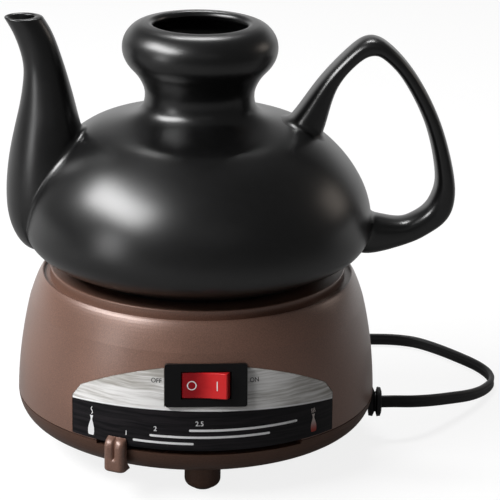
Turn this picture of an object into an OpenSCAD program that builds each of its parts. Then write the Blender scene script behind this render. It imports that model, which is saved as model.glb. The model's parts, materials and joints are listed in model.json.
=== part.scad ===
// Tabletop sake warmer: a glazed ceramic pot that lifts off a round electric base.
// Millimetres, Z up. The front panel faces -Y, the spout -X and the handle +X.
// The origin is under the middle of the object's outline, on the surface it stands on.

/* [Pot] */
// Height of the pot from its flat bottom to the top of the mouth
pot_h = 108; // [104:0.1:112]
// How far inside the heater plate's edge the pot's flat bottom ends
foot_margin = 3.2; // [1.5:0.1:6]
// Radius of the belly where it is widest
belly_r = 75; // [72:0.5:78]
// Height of the widest place above the bottom
belly_h = 18; // [16:0.5:20]
// Radius where the shoulder begins to flatten
shoulder_r = 45; // [42:0.5:48]
// Height of that place above the bottom
shoulder_h = 63.3; // [61:0.1:65]
// Radius of the waist under the bulb
neck_r = 23.3; // [22:0.1:25]
// Height of the waist above the bottom
neck_h = 76.5; // [75:0.1:78]
// Radius of the bulb where it is widest
bulb_r = 33.2; // [31:0.1:35]
// Height of that place above the bottom
bulb_h = 95.5; // [94:0.1:97]
// Radius of the mouth
mouth_r = 20; // [19:0.1:21.5]
// Wall of the pot
pot_wall = 4.5; // [3.5:0.1:5]
// Degrees that the pot is turned on its base, spout towards the front
pot_turn = 0; // [-10:1:10]

/* [Spout and handle] */
// Height of the spout's cut tip above the pot's bottom
spout_h = 109.7; // [105:0.1:114]
// How far the spout's lower bend stands out of the belly
spout_out = 7.6; // [6:0.1:10]
// How far the spout's inner edge lies inside the belly's radius, at its deepest
spout_in = 29; // [28:0.1:30]
// Width of the spout front to back at its tip
spout_tip_w = 15.5; // [14:0.1:17]
// Width of the spout front to back at its root
spout_root_w = 38; // [34:0.5:40]
// Wall of the spout
spout_wall = 3.6; // [3:0.1:4]
// Height of the handle's top above the pot's bottom
handle_h = 103.3; // [98:0.1:108]
// How far the handle reaches out of the belly
handle_out = 36.3; // [33:0.1:40]
// Width of the handle's strap front to back
handle_w = 15.5; // [13:0.1:18]

/* [Base shells] */
// Largest radius of the base
housing_r = 78.3; // [76:0.1:81]
// Height of the widest place of the base above the floor
barrel_z = 20; // [18:0.5:22]
// How fast the side draws in above that, per millimetre squared
barrel = 0.0027; // [0.002:0.00005:0.0029]
// Height of the joint between the housing and the tray
seam_z = 23.5; // [23:0.1:24]
// Gap that shows along that joint
seam_gap = 0.4; // [0.2:0.1:0.6]
// Height where the rounded shoulder begins
shoulder_z = 65; // [64:0.1:66]
// Height of the housing's top edge
housing_h = 77.3; // [76.8:0.1:78]
// How far the shoulder draws in from the widest place to the groove round the collar
shoulder_in = 11.5; // [10.5:0.1:12]
// Width of the groove
groove_w = 2.7; // [2.4:0.1:3]
// Depth of the groove
groove_depth = 1.4; // [1.2:0.1:1.8]
// Radius of the rounding along the groove's outer edge
lip_round = 0.6; // [0.4:0.1:0.8]
// Wall of the housing
housing_wall = 2.5; // [2:0.1:3]
// Wall and floor of the tray
tray_wall = 2.4; // [2:0.1:3]
// Height of the tray's underside above the floor
tray_z = 11; // [10:0.1:12]
// How far the tray draws in from the widest place to its flat underside
tray_in = 12.6; // [11.5:0.1:14]
// Clearance between the tray's lip and the housing
lip_fit = 0.15; // [0.1:0.05:0.3]
// Height of the lip above the joint
lip_h = 3.5; // [2:0.1:4]

/* [Feet and screws] */
// How far inside the widest place the feet's middles stand
foot_in = 19.3; // [17:0.1:20.5]
// Radius of a foot
foot_r = 7.65; // [7:0.05:8]
// Height at which a foot's post ends above the floor, beside its pad
foot_lift = 0.8; // [0.5:0.1:1.2]
// Radius of the rounding under a foot
foot_round = 3.2; // [2:0.1:3.3]
// Radius of a rubber pad
pad_r = 4.1; // [3.8:0.1:4.2]
// Thickness of a rubber pad
pad_t = 2.2; // [2:0.1:3]
// How far inside the widest place the housing screws stand
boss_in = 18.3; // [17.5:0.1:19]
// Outer radius of a screw boss
boss_r = 4; // [3.6:0.1:4.4]
// Radius of a screw's shank
screw_r = 1.5; // [1.4:0.05:1.6]
// Radius of a screw's head
screw_head_r = 2.9; // [2.7:0.1:3]
// Clearance round a screw's head and shank
screw_fit = 0.2; // [0.1:0.05:0.3]

/* [Heater] */
// Width of the collar, from its outer side to the edge of the heater plate's rim
collar_w = 7.1; // [6.8:0.1:7.4]
// How far the heater plate's top stands above the housing's top edge
plate_rise = 1.4; // [1.2:0.1:1.6]
// Thickness of the heater plate
plate_t = 5; // [4.5:0.1:5.5]
// Thickness of the rim that the collar holds down
plate_rim_t = 2; // [1.6:0.1:2.4]
// Width of that rim
plate_rim_w = 6.8; // [6.5:0.1:7]
// Clearance round the heater plate
plate_fit = 0.6; // [0.4:0.1:0.8]
// How far the collar's outer edge stands above the housing's top edge
collar_rise = 3; // [2.8:0.1:3.2]
// Radius of the heating element's ring
element_ring_r = 32; // [31:0.5:33]
// Radius of the heating element's tube
element_r = 3.2; // [3:0.1:3.4]
// Degrees of the ring that the element fills
element_arc = 300; // [280:5:310]
// Thickness of the heat shield
shield_t = 0.8; // [0.6:0.1:1]
// Radius of the heat shield
shield_r = 47; // [46.5:0.1:48]

/* [Thermostat and lever] */
// Radius of the lever's spindle
spindle_r = 3; // [2.8:0.1:3.2]
// Running clearance of the spindle in its bush
spindle_fit = 0.06; // [0.03:0.01:0.08]
// Radius of the thermostat's ceramic body
thermostat_r = 9; // [8:0.1:10]
// Thickness of the lever arm
arm_t = 1.2; // [1:0.1:1.3]
// Width of the lever arm
arm_w = 8; // [7:0.1:8.5]
// Degrees from the front to the temperature knob at rest
knob_at = -27.5; // [-30:0.5:-26]
// Width of the temperature knob
knob_w = 9.3; // [9:0.1:11]
// How far the knob's front face stands out of the base's widest place
knob_proud = 4.5; // [3.8:0.1:5.5]
// Height of the knob's underside above the floor
knob_z = 12.5; // [12:0.1:15]
// Height of the knob's top above the floor
knob_top_z = 27.3; // [27:0.1:30]
// Clearance between the knob and the base
knob_fit = 0.45; // [0.35:0.05:0.6]

/* [Front panel and switch] */
// Half the angle that the front panel spans
panel_half = 45.3; // [44:0.1:46]
// Height of the panel's top edge at the front, above the floor
panel_top_z = 60; // [59:0.1:60.5]
// How fast the top edge falls towards its ends, per degree squared
panel_fall = 0.00814; // [0.0075:0.0001:0.0085]
// Thickness of the panel
panel_t = 1; // [0.8:0.1:1.2]
// How far the panel stands out of the housing
panel_proud = 0.3; // [0.2:0.05:0.4]
// Clearance round the panel
panel_fit = 0.2; // [0.1:0.05:0.3]
// Width of the switch plate
switch_plate_w = 34; // [33:0.5:36]
// Height of the switch plate
switch_plate_h = 18; // [17.5:0.1:18.5]
// Height of the switch plate's middle above the floor
switch_z = 52.4; // [52:0.1:53]
// How far the switch plate's face stands out of the housing at its middle
switch_proud = 0.9; // [0.8:0.1:1.2]
// Width of the rocker's opening
rocker_w = 20.8; // [20:0.1:21.5]
// Height of the rocker's opening
rocker_h = 11.4; // [11:0.1:12]
// Degrees that the rocker leans to either side of its middle
rocker_lean = 11; // [9:0.5:12]
// Gap between the rocker and its opening
rocker_gap = 0.3; // [0.25:0.05:0.5]
// Radius of the rocker's trunnions
trunnion_r = 1.2; // [1.1:0.05:1.3]
// Running clearance of the trunnions
trunnion_fit = 0.05; // [0.03:0.01:0.08]

/* [Cord] */
// Width of the flat cord
cord_w = 5.6; // [5:0.1:6]
// Thickness of the flat cord
cord_t = 2.8; // [2.5:0.1:2.9]
// Degrees from the front to the cord's bush
bush_at = 86; // [84:1:92]
// Height of the bush's middle above the floor
bush_z = 15.8; // [15.5:0.1:16.2]
// How far the bush stands out of the base's widest place
bush_proud = 4.1; // [3.8:0.1:4.4]
// Radius of the bush's flanges
bush_flange_r = 6.6; // [6:0.1:7]
// Length of the plug's grip
plug_l = 30; // [26:1:34]
// Width of the plug's grip
plug_w = 23; // [21:0.5:25]
// Thickness of the plug's grip
plug_t = 12; // [11:0.1:12.4]

/* [Hidden] */

$fn = 96;
tiny = 0.05;     // gap between pieces that bear on each other
over = 1;        // how far a cutting shape runs past what it cuts
black_glaze = "#1a1a1c";
brown = "#6b4a40";
dark_brown = "#4a332c";
steel = "#b9bcc0";
aluminium = "#8f9296";
rubber = "#1c1c1c";
ivory = "#d8d2c4";

// ---- Shared functions ----

function lerp(a, b, f) = a + (b - a) * f;
function between(a, b, f) = [lerp(a[0], b[0], f[0]), lerp(a[1], b[1], f[1])];
function unit(v) = v / norm(v);
function bent(v, power) = sign(v) * pow(abs(v), power);
function curve_at(p0, p1, p2, p3, t) =
    (2 * p1 + (p2 - p0) * t + (2 * p0 - 5 * p1 + 4 * p2 - p3) * t * t
        + (3 * p1 - p0 - 3 * p2 + p3) * t * t * t) / 2;
// A smooth curve through all the points, with some steps between two of them
function smooth(pts, steps) = let (last = len(pts) - 1) concat(
    [for (i = [0:last - 1]) for (k = [0:steps - 1])
        curve_at(pts[max(i - 1, 0)], pts[i], pts[i + 1], pts[min(i + 2, last)], k / steps)],
    [pts[last]]);
function bezier(a, b, c, steps) =
    [for (i = [0:steps]) let (t = i / steps) a * pow(1 - t, 2) + b * 2 * t * (1 - t) + c * t * t];
function reversed(list) = [for (i = [len(list) - 1:-1:0]) list[i]];
function along(list, i) = list[min(i + 1, len(list) - 1)] - list[max(i - 1, 0)];

// A closed skin over rings that all have the same number of points
module skin(rings) {
    sides = len(rings[0]);
    last = (len(rings) - 1) * sides;
    walls = [
        for (i = [0:len(rings) - 2]) for (k = [0:sides - 1])
            let (a = i * sides + k, b = i * sides + (k + 1) % sides)
            each [[a, b, b + sides], [a, b + sides, a + sides]]
    ];
    first_cap = [for (k = [1:sides - 2]) [0, k + 1, k]];
    last_cap = [for (k = [1:sides - 2]) [last, last + k, last + k + 1]];
    polyhedron([for (ring = rings) each ring], concat(walls, first_cap, last_cap));
}

// Turns its children about the base's axis, from the front towards the handle
module at(degrees) {
    rotate([0, 0, degrees]) children();
}

// A flat rectangle about its middle, with round corners
module rounded(w, h, r) {
    square([w - 2 * r, h], center = true);
    square([w, h - 2 * r], center = true);
    for (x = [-1, 1]) for (y = [-1, 1])
        translate([x * (w / 2 - r), y * (h / 2 - r)]) circle(r = r, $fn = 24);
}

// ---- Where the base's axis stands, and the levels that pieces share ----

handle_reach = belly_r + handle_out;
spout_reach = belly_r + spout_out;
base_x = (spout_reach - handle_reach) * cos(pot_turn) / 2;
groove_r = housing_r - shoulder_in;
collar_r = groove_r - groove_w;
collar_z = housing_h + collar_rise;
plate_rim_r = collar_r - collar_w;
plate_r = plate_rim_r - plate_rim_w;
plate_top_z = housing_h + plate_rise;
pot_foot_r = plate_r - foot_margin;
pot_seat_gap = 0.2;
pot_z = plate_top_z + pot_seat_gap;
shelf_z = plate_top_z - plate_t;
shelf_t = 2.4;
shelf_r = plate_rim_r - 4;
tray_flat_r = housing_r - tray_in;
tray_floor_z = tray_z + tray_wall;
foot_circle_r = housing_r - foot_in;
boss_circle_r = housing_r - boss_in;
knob_front_r = housing_r + knob_proud;

module set_down() {
    translate([base_x, 0, 0]) children();
}

// ---- Pot ----

belly = [belly_r, belly_h];
shoulder = [shoulder_r, shoulder_h];
neck = [neck_r, neck_h];
bulb = [bulb_r, bulb_h];
lip = [mouth_r + pot_wall * 0.9, pot_h];
pot_knots = concat(
    [[pot_foot_r, 0]],
    [for (f = [[0.3, 0.17], [0.62, 0.38], [0.87, 0.62]]) between([pot_foot_r, 0], belly, f)],
    [belly],
    [for (f = [[0.02, 0.216], [0.113, 0.413], [0.283, 0.607], [0.51, 0.78], [0.76, 0.915]])
        between(belly, shoulder, f)],
    [shoulder],
    [for (f = [[0.69, 0.3], [0.945, 0.6]]) between(shoulder, neck, f)],
    [neck],
    [for (f = [[0.07, 0.22], [0.37, 0.5], [0.78, 0.73]]) between(neck, bulb, f)],
    [bulb],
    [for (f = [[0.05, 0.44], [0.33, 0.76], [0.62, 0.93]]) between(bulb, lip, f)],
    [lip]);
pot_outside = smooth(pot_knots, 3);
pot_inside = [for (i = [0:len(pot_outside) - 1]) let (t = unit(along(pot_outside, i)))
    pot_outside[i] + pot_wall * [-t[1], t[0]]];
lip_nose = [for (a = [90:22.5:270])
    [mouth_r + pot_wall / 2, pot_h - pot_wall / 2] + pot_wall / 2 * [cos(a), sin(a)]];

module pot_place() {
    set_down() translate([0, 0, pot_z]) rotate([0, 0, pot_turn]) children();
}

// The pot is one casting, kept as bands so that its hollow stays open: the heights where they meet
floor_joint_h = pot_wall + 0.3;
belly_joint_h = belly_h + 12;
neck_joint_h = neck_h - 5.5;

// The pot as if it were not hollow
module pot_solid() {
    rotate_extrude() polygon(concat([[0, 0]], pot_outside, [[0, pot_h]]));
}

// A row is the section's outer and inner edge, each as a share of its reach and of the spout's height,
// and how far its width has grown from the tip's to the root's
spout_rows = [for (row = [
        [0.974, 1.000, 0.303, 1.003, 0],
        [0.434, 0.934, 0.441, 0.942, 0.01],
        [0.000, 0.838, 0.566, 0.848, 0.04],
        [-0.039, 0.767, 0.648, 0.777, 0.14],
        [0.158, 0.670, 0.745, 0.684, 0.38],
        [0.421, 0.590, 0.814, 0.608, 0.62],
        [0.776, 0.477, 0.897, 0.530, 0.84],
        [0.987, 0.354, 1.000, 0.447, 0.97],
        [0.947, 0.228, 0.931, 0.330, 1],
        [0.474, 0.132, 0.793, 0.230, 0.8],
        [-0.395, 0.072, 0.655, 0.170, 0.4],
        [-1.842, 0.075, 0.897, 0.125, 0.1]])
    [row[0] * spout_out, row[1] * spout_h, -row[2] * spout_in, row[3] * spout_h,
        lerp(spout_tip_w, spout_root_w, row[4])]];
bore_rows = 9;
lip_wall = 1.6;

// The edges are drawn in by the left and right wall
function spout_ring(row, left, right, sides) =
    let (a = [-belly_r - row[0], row[1]], b = [-belly_r - row[2], row[3]], u = unit(b - a),
        in_a = a + left * u, in_b = b - right * u, c = (in_a + in_b) / 2, h = (in_b - in_a) / 2)
    [for (k = [0:sides - 1]) let (t = 360 * k / sides)
        [c[0] + h[0] * cos(t), (row[4] - left - right) / 2 * sin(t), c[1] + h[1] * cos(t)]];

module spout_outside() {
    skin([for (row = smooth(spout_rows, 3)) spout_ring(row, 0, 0, 20)]);
}

module spout_bore() {
    rows = smooth([for (i = [0:bore_rows - 1]) concat(spout_rows[i], i == 0 ? lip_wall : spout_wall)], 3);
    mouth = spout_ring(rows[0], lip_wall, spout_wall, 14);
    skin(concat(
        [[for (p = mouth) p + [0, 0, over]]],
        [for (row = rows) spout_ring(row, row[5], spout_wall, 14)]));
}

// The pot's shell between two heights, less the children
module pot_band(from, to) color(black_glaze) pot_place() {
    difference() {
        rotate_extrude() polygon(concat(
            [[0, 0]], pot_outside, lip_nose, reversed(pot_inside), [[0, pot_wall]]));
        if (from > 0)
            translate([0, 0, -over]) cylinder(r = belly_r + over, h = from + over);
        if (to < pot_h)
            translate([0, 0, to]) cylinder(r = belly_r + over, h = pot_h);
        children();
    }
}

module pot_floor() pot_band(0, floor_joint_h);

module pot_body() pot_band(floor_joint_h, belly_joint_h) spout_bore();

module pot_shoulder() pot_band(belly_joint_h, neck_joint_h) spout_bore();

module pot_neck() pot_band(neck_joint_h, pot_h);

module pot_spout() color(black_glaze) pot_place() {
    difference() {
        spout_outside();
        pot_solid();
        spout_bore();
    }
}

// A row is the strap's outer and inner edge, as shares of the handle's reach and height, and its width
handle_rows = [
    [-1.15, 0.581, -0.81, 0.474, 1.35],
    [-0.93, 0.668, -0.61, 0.575, 1.3],
    [-0.66, 0.805, -0.465, 0.772, 1.08],
    [-0.31, 0.938, -0.2, 0.885, 1],
    [-0.09, 0.988, -0.02, 0.912, 1],
    [0.145, 0.962, 0.125, 0.885, 1],
    [0.485, 0.833, 0.345, 0.8, 1],
    [0.795, 0.63, 0.635, 0.605, 1],
    [0.985, 0.4, 0.77, 0.4, 1],
    [1, 0.272, 0.745, 0.315, 1],
    [0.905, 0.195, 0.655, 0.255, 1],
    [0.705, 0.142, 0.505, 0.218, 1.02],
    [0.47, 0.1, 0.335, 0.2, 1.08],
    [-0.03, 0.052, -0.02, 0.226, 1.25],
    [-0.29, 0.085, -0.235, 0.228, 1.3]
];

// The strap is flat on its sides and has soft ridges along its corners
function handle_ring(row, sides) =
    let (a = [belly_r + row[0] * handle_out, row[1] * handle_h],
        b = [belly_r + row[2] * handle_out, row[3] * handle_h], c = (a + b) / 2, h = (a - b) / 2)
    [for (k = [0:sides - 1]) let (t = 360 * (k + 0.5) / sides, p = bent(cos(t), 0.72))
        [c[0] + h[0] * p, -row[4] * handle_w / 2 * bent(sin(t), 0.72), c[1] + h[1] * p]];

module pot_handle() color(black_glaze) pot_place() {
    difference() {
        skin([for (row = smooth(handle_rows, 3)) handle_ring(row, 16)]);
        pot_solid();
    }
}

// ---- Base shells ----

function side_r(z) = housing_r - barrel * pow(z - barrel_z, 2);
side_steps = 12;
housing_low_z = seam_z + seam_gap / 2;
tray_high_z = seam_z - seam_gap / 2;
housing_side = [for (i = [0:side_steps]) let (z = lerp(housing_low_z, shoulder_z, i / side_steps))
    [side_r(z), z]];
lip_top = [groove_r + lip_round, housing_h];
housing_shoulder = concat(
    bezier([side_r(shoulder_z), shoulder_z], lip_top + [2, -1.5], lip_top, 8),
    [for (a = [30:30:90]) lip_top + lip_round * [-sin(a), cos(a) - 1]]);
tray_side = bezier(
    [tray_flat_r, tray_z], [housing_r - 0.9, tray_z + 1.5], [side_r(tray_high_z), tray_high_z], 12);
lip_r = side_r(housing_low_z + lip_h) - housing_wall - lip_fit;
lip_t = 1.8;
tray_inside = bezier([tray_flat_r - 0.7, tray_floor_z], [lip_r - lip_t, tray_floor_z + 0.6],
    [lip_r - lip_t, tray_floor_z + 6], 8);

// The whole base as if it were not hollow, grown or shrunk sideways
module base_solid(grow) {
    outline = concat(tray_side, housing_side, housing_shoulder);
    rotate_extrude() polygon(concat(
        [[0, tray_z]], [for (p = outline) p + [grow, 0]], [[0, housing_h]]));
}

// A stretch of a ring about the base's axis, between two angles from the front
module sector(from, to, inner_r, outer_r, low_z, high_z) {
    at(from - 90) rotate_extrude(angle = to - from)
        translate([inner_r, low_z]) square([outer_r - inner_r, high_z - low_z]);
}

// The slot of the temperature lever
slot_from = -35;
slot_to = 31.5;
slot_room = 0.4;
arm_z = seam_z - 1.1;
slot_low_z = arm_z - slot_room;
slot_high_z = arm_z + arm_t + slot_room;

module lever_slot() {
    sector(slot_from, slot_to, housing_r - 8, housing_r + over, slot_low_z, slot_high_z);
}

// Screw places: the housing is screwed to the tray, and the collar to the housing's shelf
boss_angles = [60, 150, 210, 300];
collar_screw_angles = [40, 140, 220, 320];
collar_screw_circle_r = plate_rim_r + 3.7;
boss_foot_z = tray_floor_z + 3.2;
screw_l = 14;
counterbore_h = 3;

module around(angles, r) {
    for (a = angles) at(a) translate([0, -r, 0]) children();
}

// The front panel's outline, seen from the front
panel_low_z = slot_high_z + 0.2;
function panel_edge_z(a) = panel_top_z - panel_fall * a * a;
panel_corner = 3;
module panel_outline(grow) {
    half_x = side_r(panel_edge_z(panel_half)) * sin(panel_half);
    top = [for (a = [-42:4:42]) [side_r(panel_edge_z(a)) * sin(a), panel_edge_z(a) + grow]];
    end_z = panel_edge_z(panel_half) - panel_corner;
    polygon(concat(
        [[-half_x - grow, panel_low_z - grow], [-half_x - grow, end_z]], top,
        [[half_x + grow, end_z], [half_x + grow, panel_low_z - grow]]));
}

// The part of a skin on the base's side that lies behind the panel's outline
module panel_skin(inner, outer, grow) {
    intersection() {
        rotate([90, 0, 0]) linear_extrude(housing_r + over) panel_outline(grow);
        difference() {
            base_solid(outer);
            base_solid(inner);
        }
    }
}

// The switch's own place: X to the right, Z up along the leaning plate, -Y out of it
switch_tilt = atan(2 * barrel * (switch_z - barrel_z));
switch_face_y = -side_r(switch_z) - switch_proud;
module switch_place() {
    translate([0, switch_face_y, switch_z]) rotate([-switch_tilt, 0, 0]) children();
}

// A block of the switch, from one depth behind the plate's face to another
module switch_block(w, h, from, to) {
    translate([-w / 2, from, -h / 2]) cube([w, to - from, h]);
}

switch_body_w = rocker_w + 3.6;
switch_body_h = rocker_h + 3.6;
switch_face_t = 1.25;
switch_body_d = 16;

// The cord's bush lies along a line out of the base's axis
module bush_place() {
    at(bush_at) translate([0, 0, bush_z]) rotate([90, 0, 0]) children();
}
bush_neck_r = 3.5;
bush_out_r = housing_r + bush_proud;
bush_inner_r = bush_out_r - 20.4;
bush_room = 0.15;

module upper_housing() color(brown) set_down() {
    inside = [for (p = housing_side) p - [housing_wall, 0]];
    shelf_low_z = shelf_z - shelf_t;
    difference() {
        union() {
            rotate_extrude() polygon(concat(
                housing_side, housing_shoulder,
                [[groove_r, housing_h - groove_depth], [collar_r + tiny, housing_h - groove_depth],
                    [collar_r + tiny, shelf_z], [shelf_r, shelf_z], [shelf_r, shelf_low_z],
                    [groove_r + 1.1, shelf_low_z]],
                reversed(inside)));
            around(boss_angles, boss_circle_r) translate([0, 0, boss_foot_z])
                cylinder(r = boss_r, h = shelf_low_z + shelf_t / 2 - boss_foot_z, $fn = 32);
        }
        around(boss_angles, boss_circle_r) translate([0, 0, boss_foot_z - over])
            cylinder(r = screw_r + tiny, h = screw_l + over, $fn = 24);
        around(collar_screw_angles, collar_screw_circle_r) translate([0, 0, shelf_low_z - over])
            cylinder(r = screw_r + screw_fit, h = shelf_t + 2 * over, $fn = 24);
        panel_skin(panel_proud - panel_t - tiny, over, panel_fit);
        switch_place() switch_block(switch_body_w + 0.6, switch_body_h + 0.6, -over, switch_body_d);
        lever_slot();
    }
}

module foot_post() {
    edge = [for (a = [0:15:90])
        [foot_r - foot_round, foot_lift + foot_round] + foot_round * [sin(a), -cos(a)]];
    rotate_extrude($fn = 48) polygon(concat(
        [[0, foot_lift]], edge, [[foot_r, tray_floor_z - 0.4], [0, tray_floor_z - 0.4]]));
}

foot_angles = [0, 120, 240];
pad_fit = 0.15;
guide_r = housing_r - 10.3;
guide_t = 1.6;
vent_rows = 5;
vent_pitch = 8;
vent_w = 3;
vent_l = 26;
vent_middle_y = 24;

module tray_vents() {
    for (i = [0:vent_rows - 1])
        translate([-vent_l / 2, vent_middle_y + (i - (vent_rows - 1) / 2) * vent_pitch, tray_z - over])
            linear_extrude(tray_wall + 2 * over) {
                translate([vent_w / 2, -vent_w / 2]) square([vent_l - vent_w, vent_w]);
                for (x = [vent_w / 2, vent_l - vent_w / 2]) translate([x, 0]) circle(d = vent_w, $fn = 16);
            }
}

module bottom_tray() color(dark_brown) set_down() {
    lip_z = seam_z + lip_h;
    difference() {
        union() {
            rotate_extrude() polygon(concat(
                [[0, tray_z]], tray_side,
                [[lip_r, tray_high_z], [lip_r, lip_z], [lip_r - lip_t, lip_z]],
                reversed(tray_inside), [[0, tray_floor_z]]));
            around(foot_angles, foot_circle_r) foot_post();
            around(boss_angles, boss_circle_r) translate([0, 0, tray_floor_z - over])
                cylinder(r = boss_r + 0.6, h = boss_foot_z - tiny - tray_floor_z + over, $fn = 32);
            sector(slot_from - 3, slot_to + 3, guide_r - guide_t, guide_r,
                tray_floor_z - tiny, arm_z - tiny);
        }
        around(foot_angles, foot_circle_r) translate([0, 0, foot_lift - over])
            cylinder(r = pad_r + pad_fit, h = pad_t - foot_lift + over + tiny, $fn = 48);
        around(boss_angles, boss_circle_r) {
            translate([0, 0, tray_z - over])
                cylinder(r = screw_head_r + screw_fit, h = counterbore_h + over, $fn = 32);
            translate([0, 0, tray_z])
                cylinder(r = screw_r + screw_fit, h = boss_foot_z, $fn = 24);
        }
        tray_vents();
        sector(slot_from, slot_to, housing_r - 8, housing_r + over, slot_low_z, housing_h);
        bush_place() {
            translate([0, 0, bush_inner_r - 0.3]) cylinder(r = bush_neck_r + tiny, h = 20, $fn = 48);
            translate([0, 0, bush_out_r - 6.2]) cylinder(r = bush_flange_r + bush_room, h = 9, $fn = 48);
        }
    }
}

module foot_pads() color(rubber) set_down() {
    around(foot_angles, foot_circle_r) cylinder(r = pad_r, h = pad_t, $fn = 48);
}

module collar_ring() color(brown) set_down() {
    rim_top_z = shelf_z + plate_rim_t + tiny;
    inner_r = plate_r + plate_fit;
    difference() {
        rotate_extrude() polygon([
            [plate_rim_r + 0.4, shelf_z], [collar_r, shelf_z], [collar_r, collar_z - 0.5],
            [collar_r - 0.15, collar_z - 0.15], [collar_r - 0.5, collar_z],
            [inner_r + 1.2, collar_z - 0.8], [inner_r + 0.3, collar_z - 1], [inner_r, collar_z - 1.4],
            [inner_r, rim_top_z], [plate_rim_r + 0.4, rim_top_z]]);
        around(collar_screw_angles, collar_screw_circle_r) translate([0, 0, shelf_z - over])
            cylinder(r = screw_r + tiny, h = 4.5 + over, $fn = 24);
    }
}

// A screw that points up, its head below the level where it starts
module short_screw(l) {
    head_h = 1.8;
    translate([0, 0, -head_h]) cylinder(r = screw_head_r, h = head_h, $fn = 32);
    cylinder(r = screw_r, h = l, $fn = 24);
}

module collar_screws() color(steel) set_down() {
    around(collar_screw_angles, collar_screw_circle_r) translate([0, 0, shelf_z - shelf_t - tiny])
        short_screw(5.5);
}

module control_panel() color("#c9c4bd") set_down() {
    difference() {
        panel_skin(panel_proud - panel_t, panel_proud, 0);
        switch_place() switch_block(switch_plate_w + 2 * panel_fit, switch_plate_h + 2 * panel_fit,
            -2 * over, switch_body_d);
    }
}

module switch_plate() color("#161616") set_down() {
    corner = 1.2;
    difference() {
        switch_place() rotate([90, 0, 0]) translate([0, 0, -6]) linear_extrude(6)
            rounded(switch_plate_w, switch_plate_h, corner);
        base_solid(tiny);
        switch_place() {
            switch_block(rocker_w, rocker_h, -over, switch_body_d);
            switch_block(switch_body_w + 0.2, switch_body_h + 0.2, switch_face_t, switch_body_d);
        }
    }
}

// ---- Heater ----

element_z = shelf_z - element_r - tiny;
shield_z = element_z - element_r - tiny - shield_t;
shield_rim_h = 4.5;
shield_boss_circle_r = 41;
shield_boss_angles = [30, 150, 270];
shield_hole_r = 25;
thermostat_boss_x = 18;
cold_end_in = 9;   // degrees from the ends of the element's ring
cold_end_angles = [90 - element_arc / 2 + cold_end_in, 90 + element_arc / 2 - cold_end_in];
fuse_at = [0, 18];
fuse_r = 2.2;
fuse_l = 13;
fuse_boss = [13, 18];

module heater_plate() color(aluminium) set_down() {
    difference() {
        union() {
            rotate_extrude() polygon([
                [0, shelf_z], [plate_rim_r, shelf_z], [plate_rim_r, shelf_z + plate_rim_t],
                [plate_r, shelf_z + plate_rim_t], [plate_r, plate_top_z - 0.6],
                [plate_r - 0.6, plate_top_z], [0, plate_top_z]]);
            around(shield_boss_angles, shield_boss_circle_r)
                translate([0, 0, shield_z + shield_t + tiny])
                cylinder(r = 3.5, h = shelf_z - shield_z, $fn = 32);
            for (x = [-1, 1]) translate([x * thermostat_boss_x, 0, shield_z + shield_t + tiny])
                cylinder(r = 3.2, h = shelf_z - shield_z, $fn = 32);
            translate([fuse_boss[0], fuse_boss[1], shelf_z - 4])
                cylinder(r = 2.4, h = 5, $fn = 32);
        }
        around(shield_boss_angles, shield_boss_circle_r) translate([0, 0, shield_z])
            cylinder(r = screw_r + tiny, h = 7, $fn = 24);
        for (x = [-1, 1]) translate([x * thermostat_boss_x, 0, shield_z])
            cylinder(r = screw_r + tiny, h = 7, $fn = 24);
    }
}

module heating_element() color("#6d6a66") set_down() {
    cold_end = 12;
    rotate([0, 0, 90 - element_arc / 2]) rotate_extrude(angle = element_arc)
        translate([element_ring_r, element_z]) circle(r = element_r, $fn = 32);
    for (a = cold_end_angles)
        rotate([0, 0, a]) translate([element_ring_r, 0, 0]) {
            translate([0, 0, element_z - cold_end])
                cylinder(r = element_r - 0.7, h = cold_end, $fn = 32);
            translate([-0.4, -3.1, element_z - cold_end - 8]) cube([0.8, 6.2, 8.5]);
        }
}

module heat_shield() color(steel) set_down() {
    difference() {
        rotate_extrude() polygon([
            [shield_hole_r, shield_z], [shield_r, shield_z], [shield_r, shield_z + shield_rim_h],
            [shield_r - shield_t, shield_z + shield_rim_h], [shield_r - shield_t, shield_z + shield_t],
            [shield_hole_r, shield_z + shield_t]]);
        around(shield_boss_angles, shield_boss_circle_r) translate([0, 0, shield_z - over])
            cylinder(r = screw_r + screw_fit, h = shield_t + 2 * over, $fn = 24);
        for (a = cold_end_angles)
            rotate([0, 0, a]) translate([element_ring_r, 0, shield_z - over])
                cylinder(r = element_r + 1.4, h = shield_t + 2 * over, $fn = 32);
    }
}

module shield_screws() color(steel) set_down() {
    around(shield_boss_angles, shield_boss_circle_r) translate([0, 0, shield_z - tiny]) short_screw(6);
}

bracket_t = 1;
bracket_z = shield_z + shield_t - bracket_t;
bush_low_z = 50;
ceramic_low_z = 56;

module thermostat() color(ivory) set_down() {
    difference() {
        union() {
            translate([-thermostat_boss_x - 4, -5, bracket_z])
                cube([2 * thermostat_boss_x + 8, 10, bracket_t]);
            translate([0, 0, bracket_z])
                cylinder(r = thermostat_r + 1, h = shelf_z - tiny - bracket_z, $fn = 48);
            translate([0, 0, ceramic_low_z])
                cylinder(r = thermostat_r, h = bracket_z - ceramic_low_z + 0.5, $fn = 48);
            translate([0, 0, bush_low_z]) cylinder(r = spindle_r + 1.8, h = 7, $fn = 48);
            for (y = [thermostat_r - 1, -thermostat_r - 8]) translate([-3.1, y, ceramic_low_z + 4])
                cube([6.2, 9, 0.8]);
        }
        translate([0, 0, bush_low_z - over]) cylinder(r = spindle_r + spindle_fit, h = 9 + over, $fn = 48);
        for (x = [-1, 1]) translate([x * thermostat_boss_x, 0, bracket_z - over])
            cylinder(r = screw_r + screw_fit, h = bracket_t + 2 * over, $fn = 24);
    }
}

module thermostat_screws() color(steel) set_down() {
    for (x = [-1, 1]) translate([x * thermostat_boss_x, 0, bracket_z - tiny]) short_screw(6);
}

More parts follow.
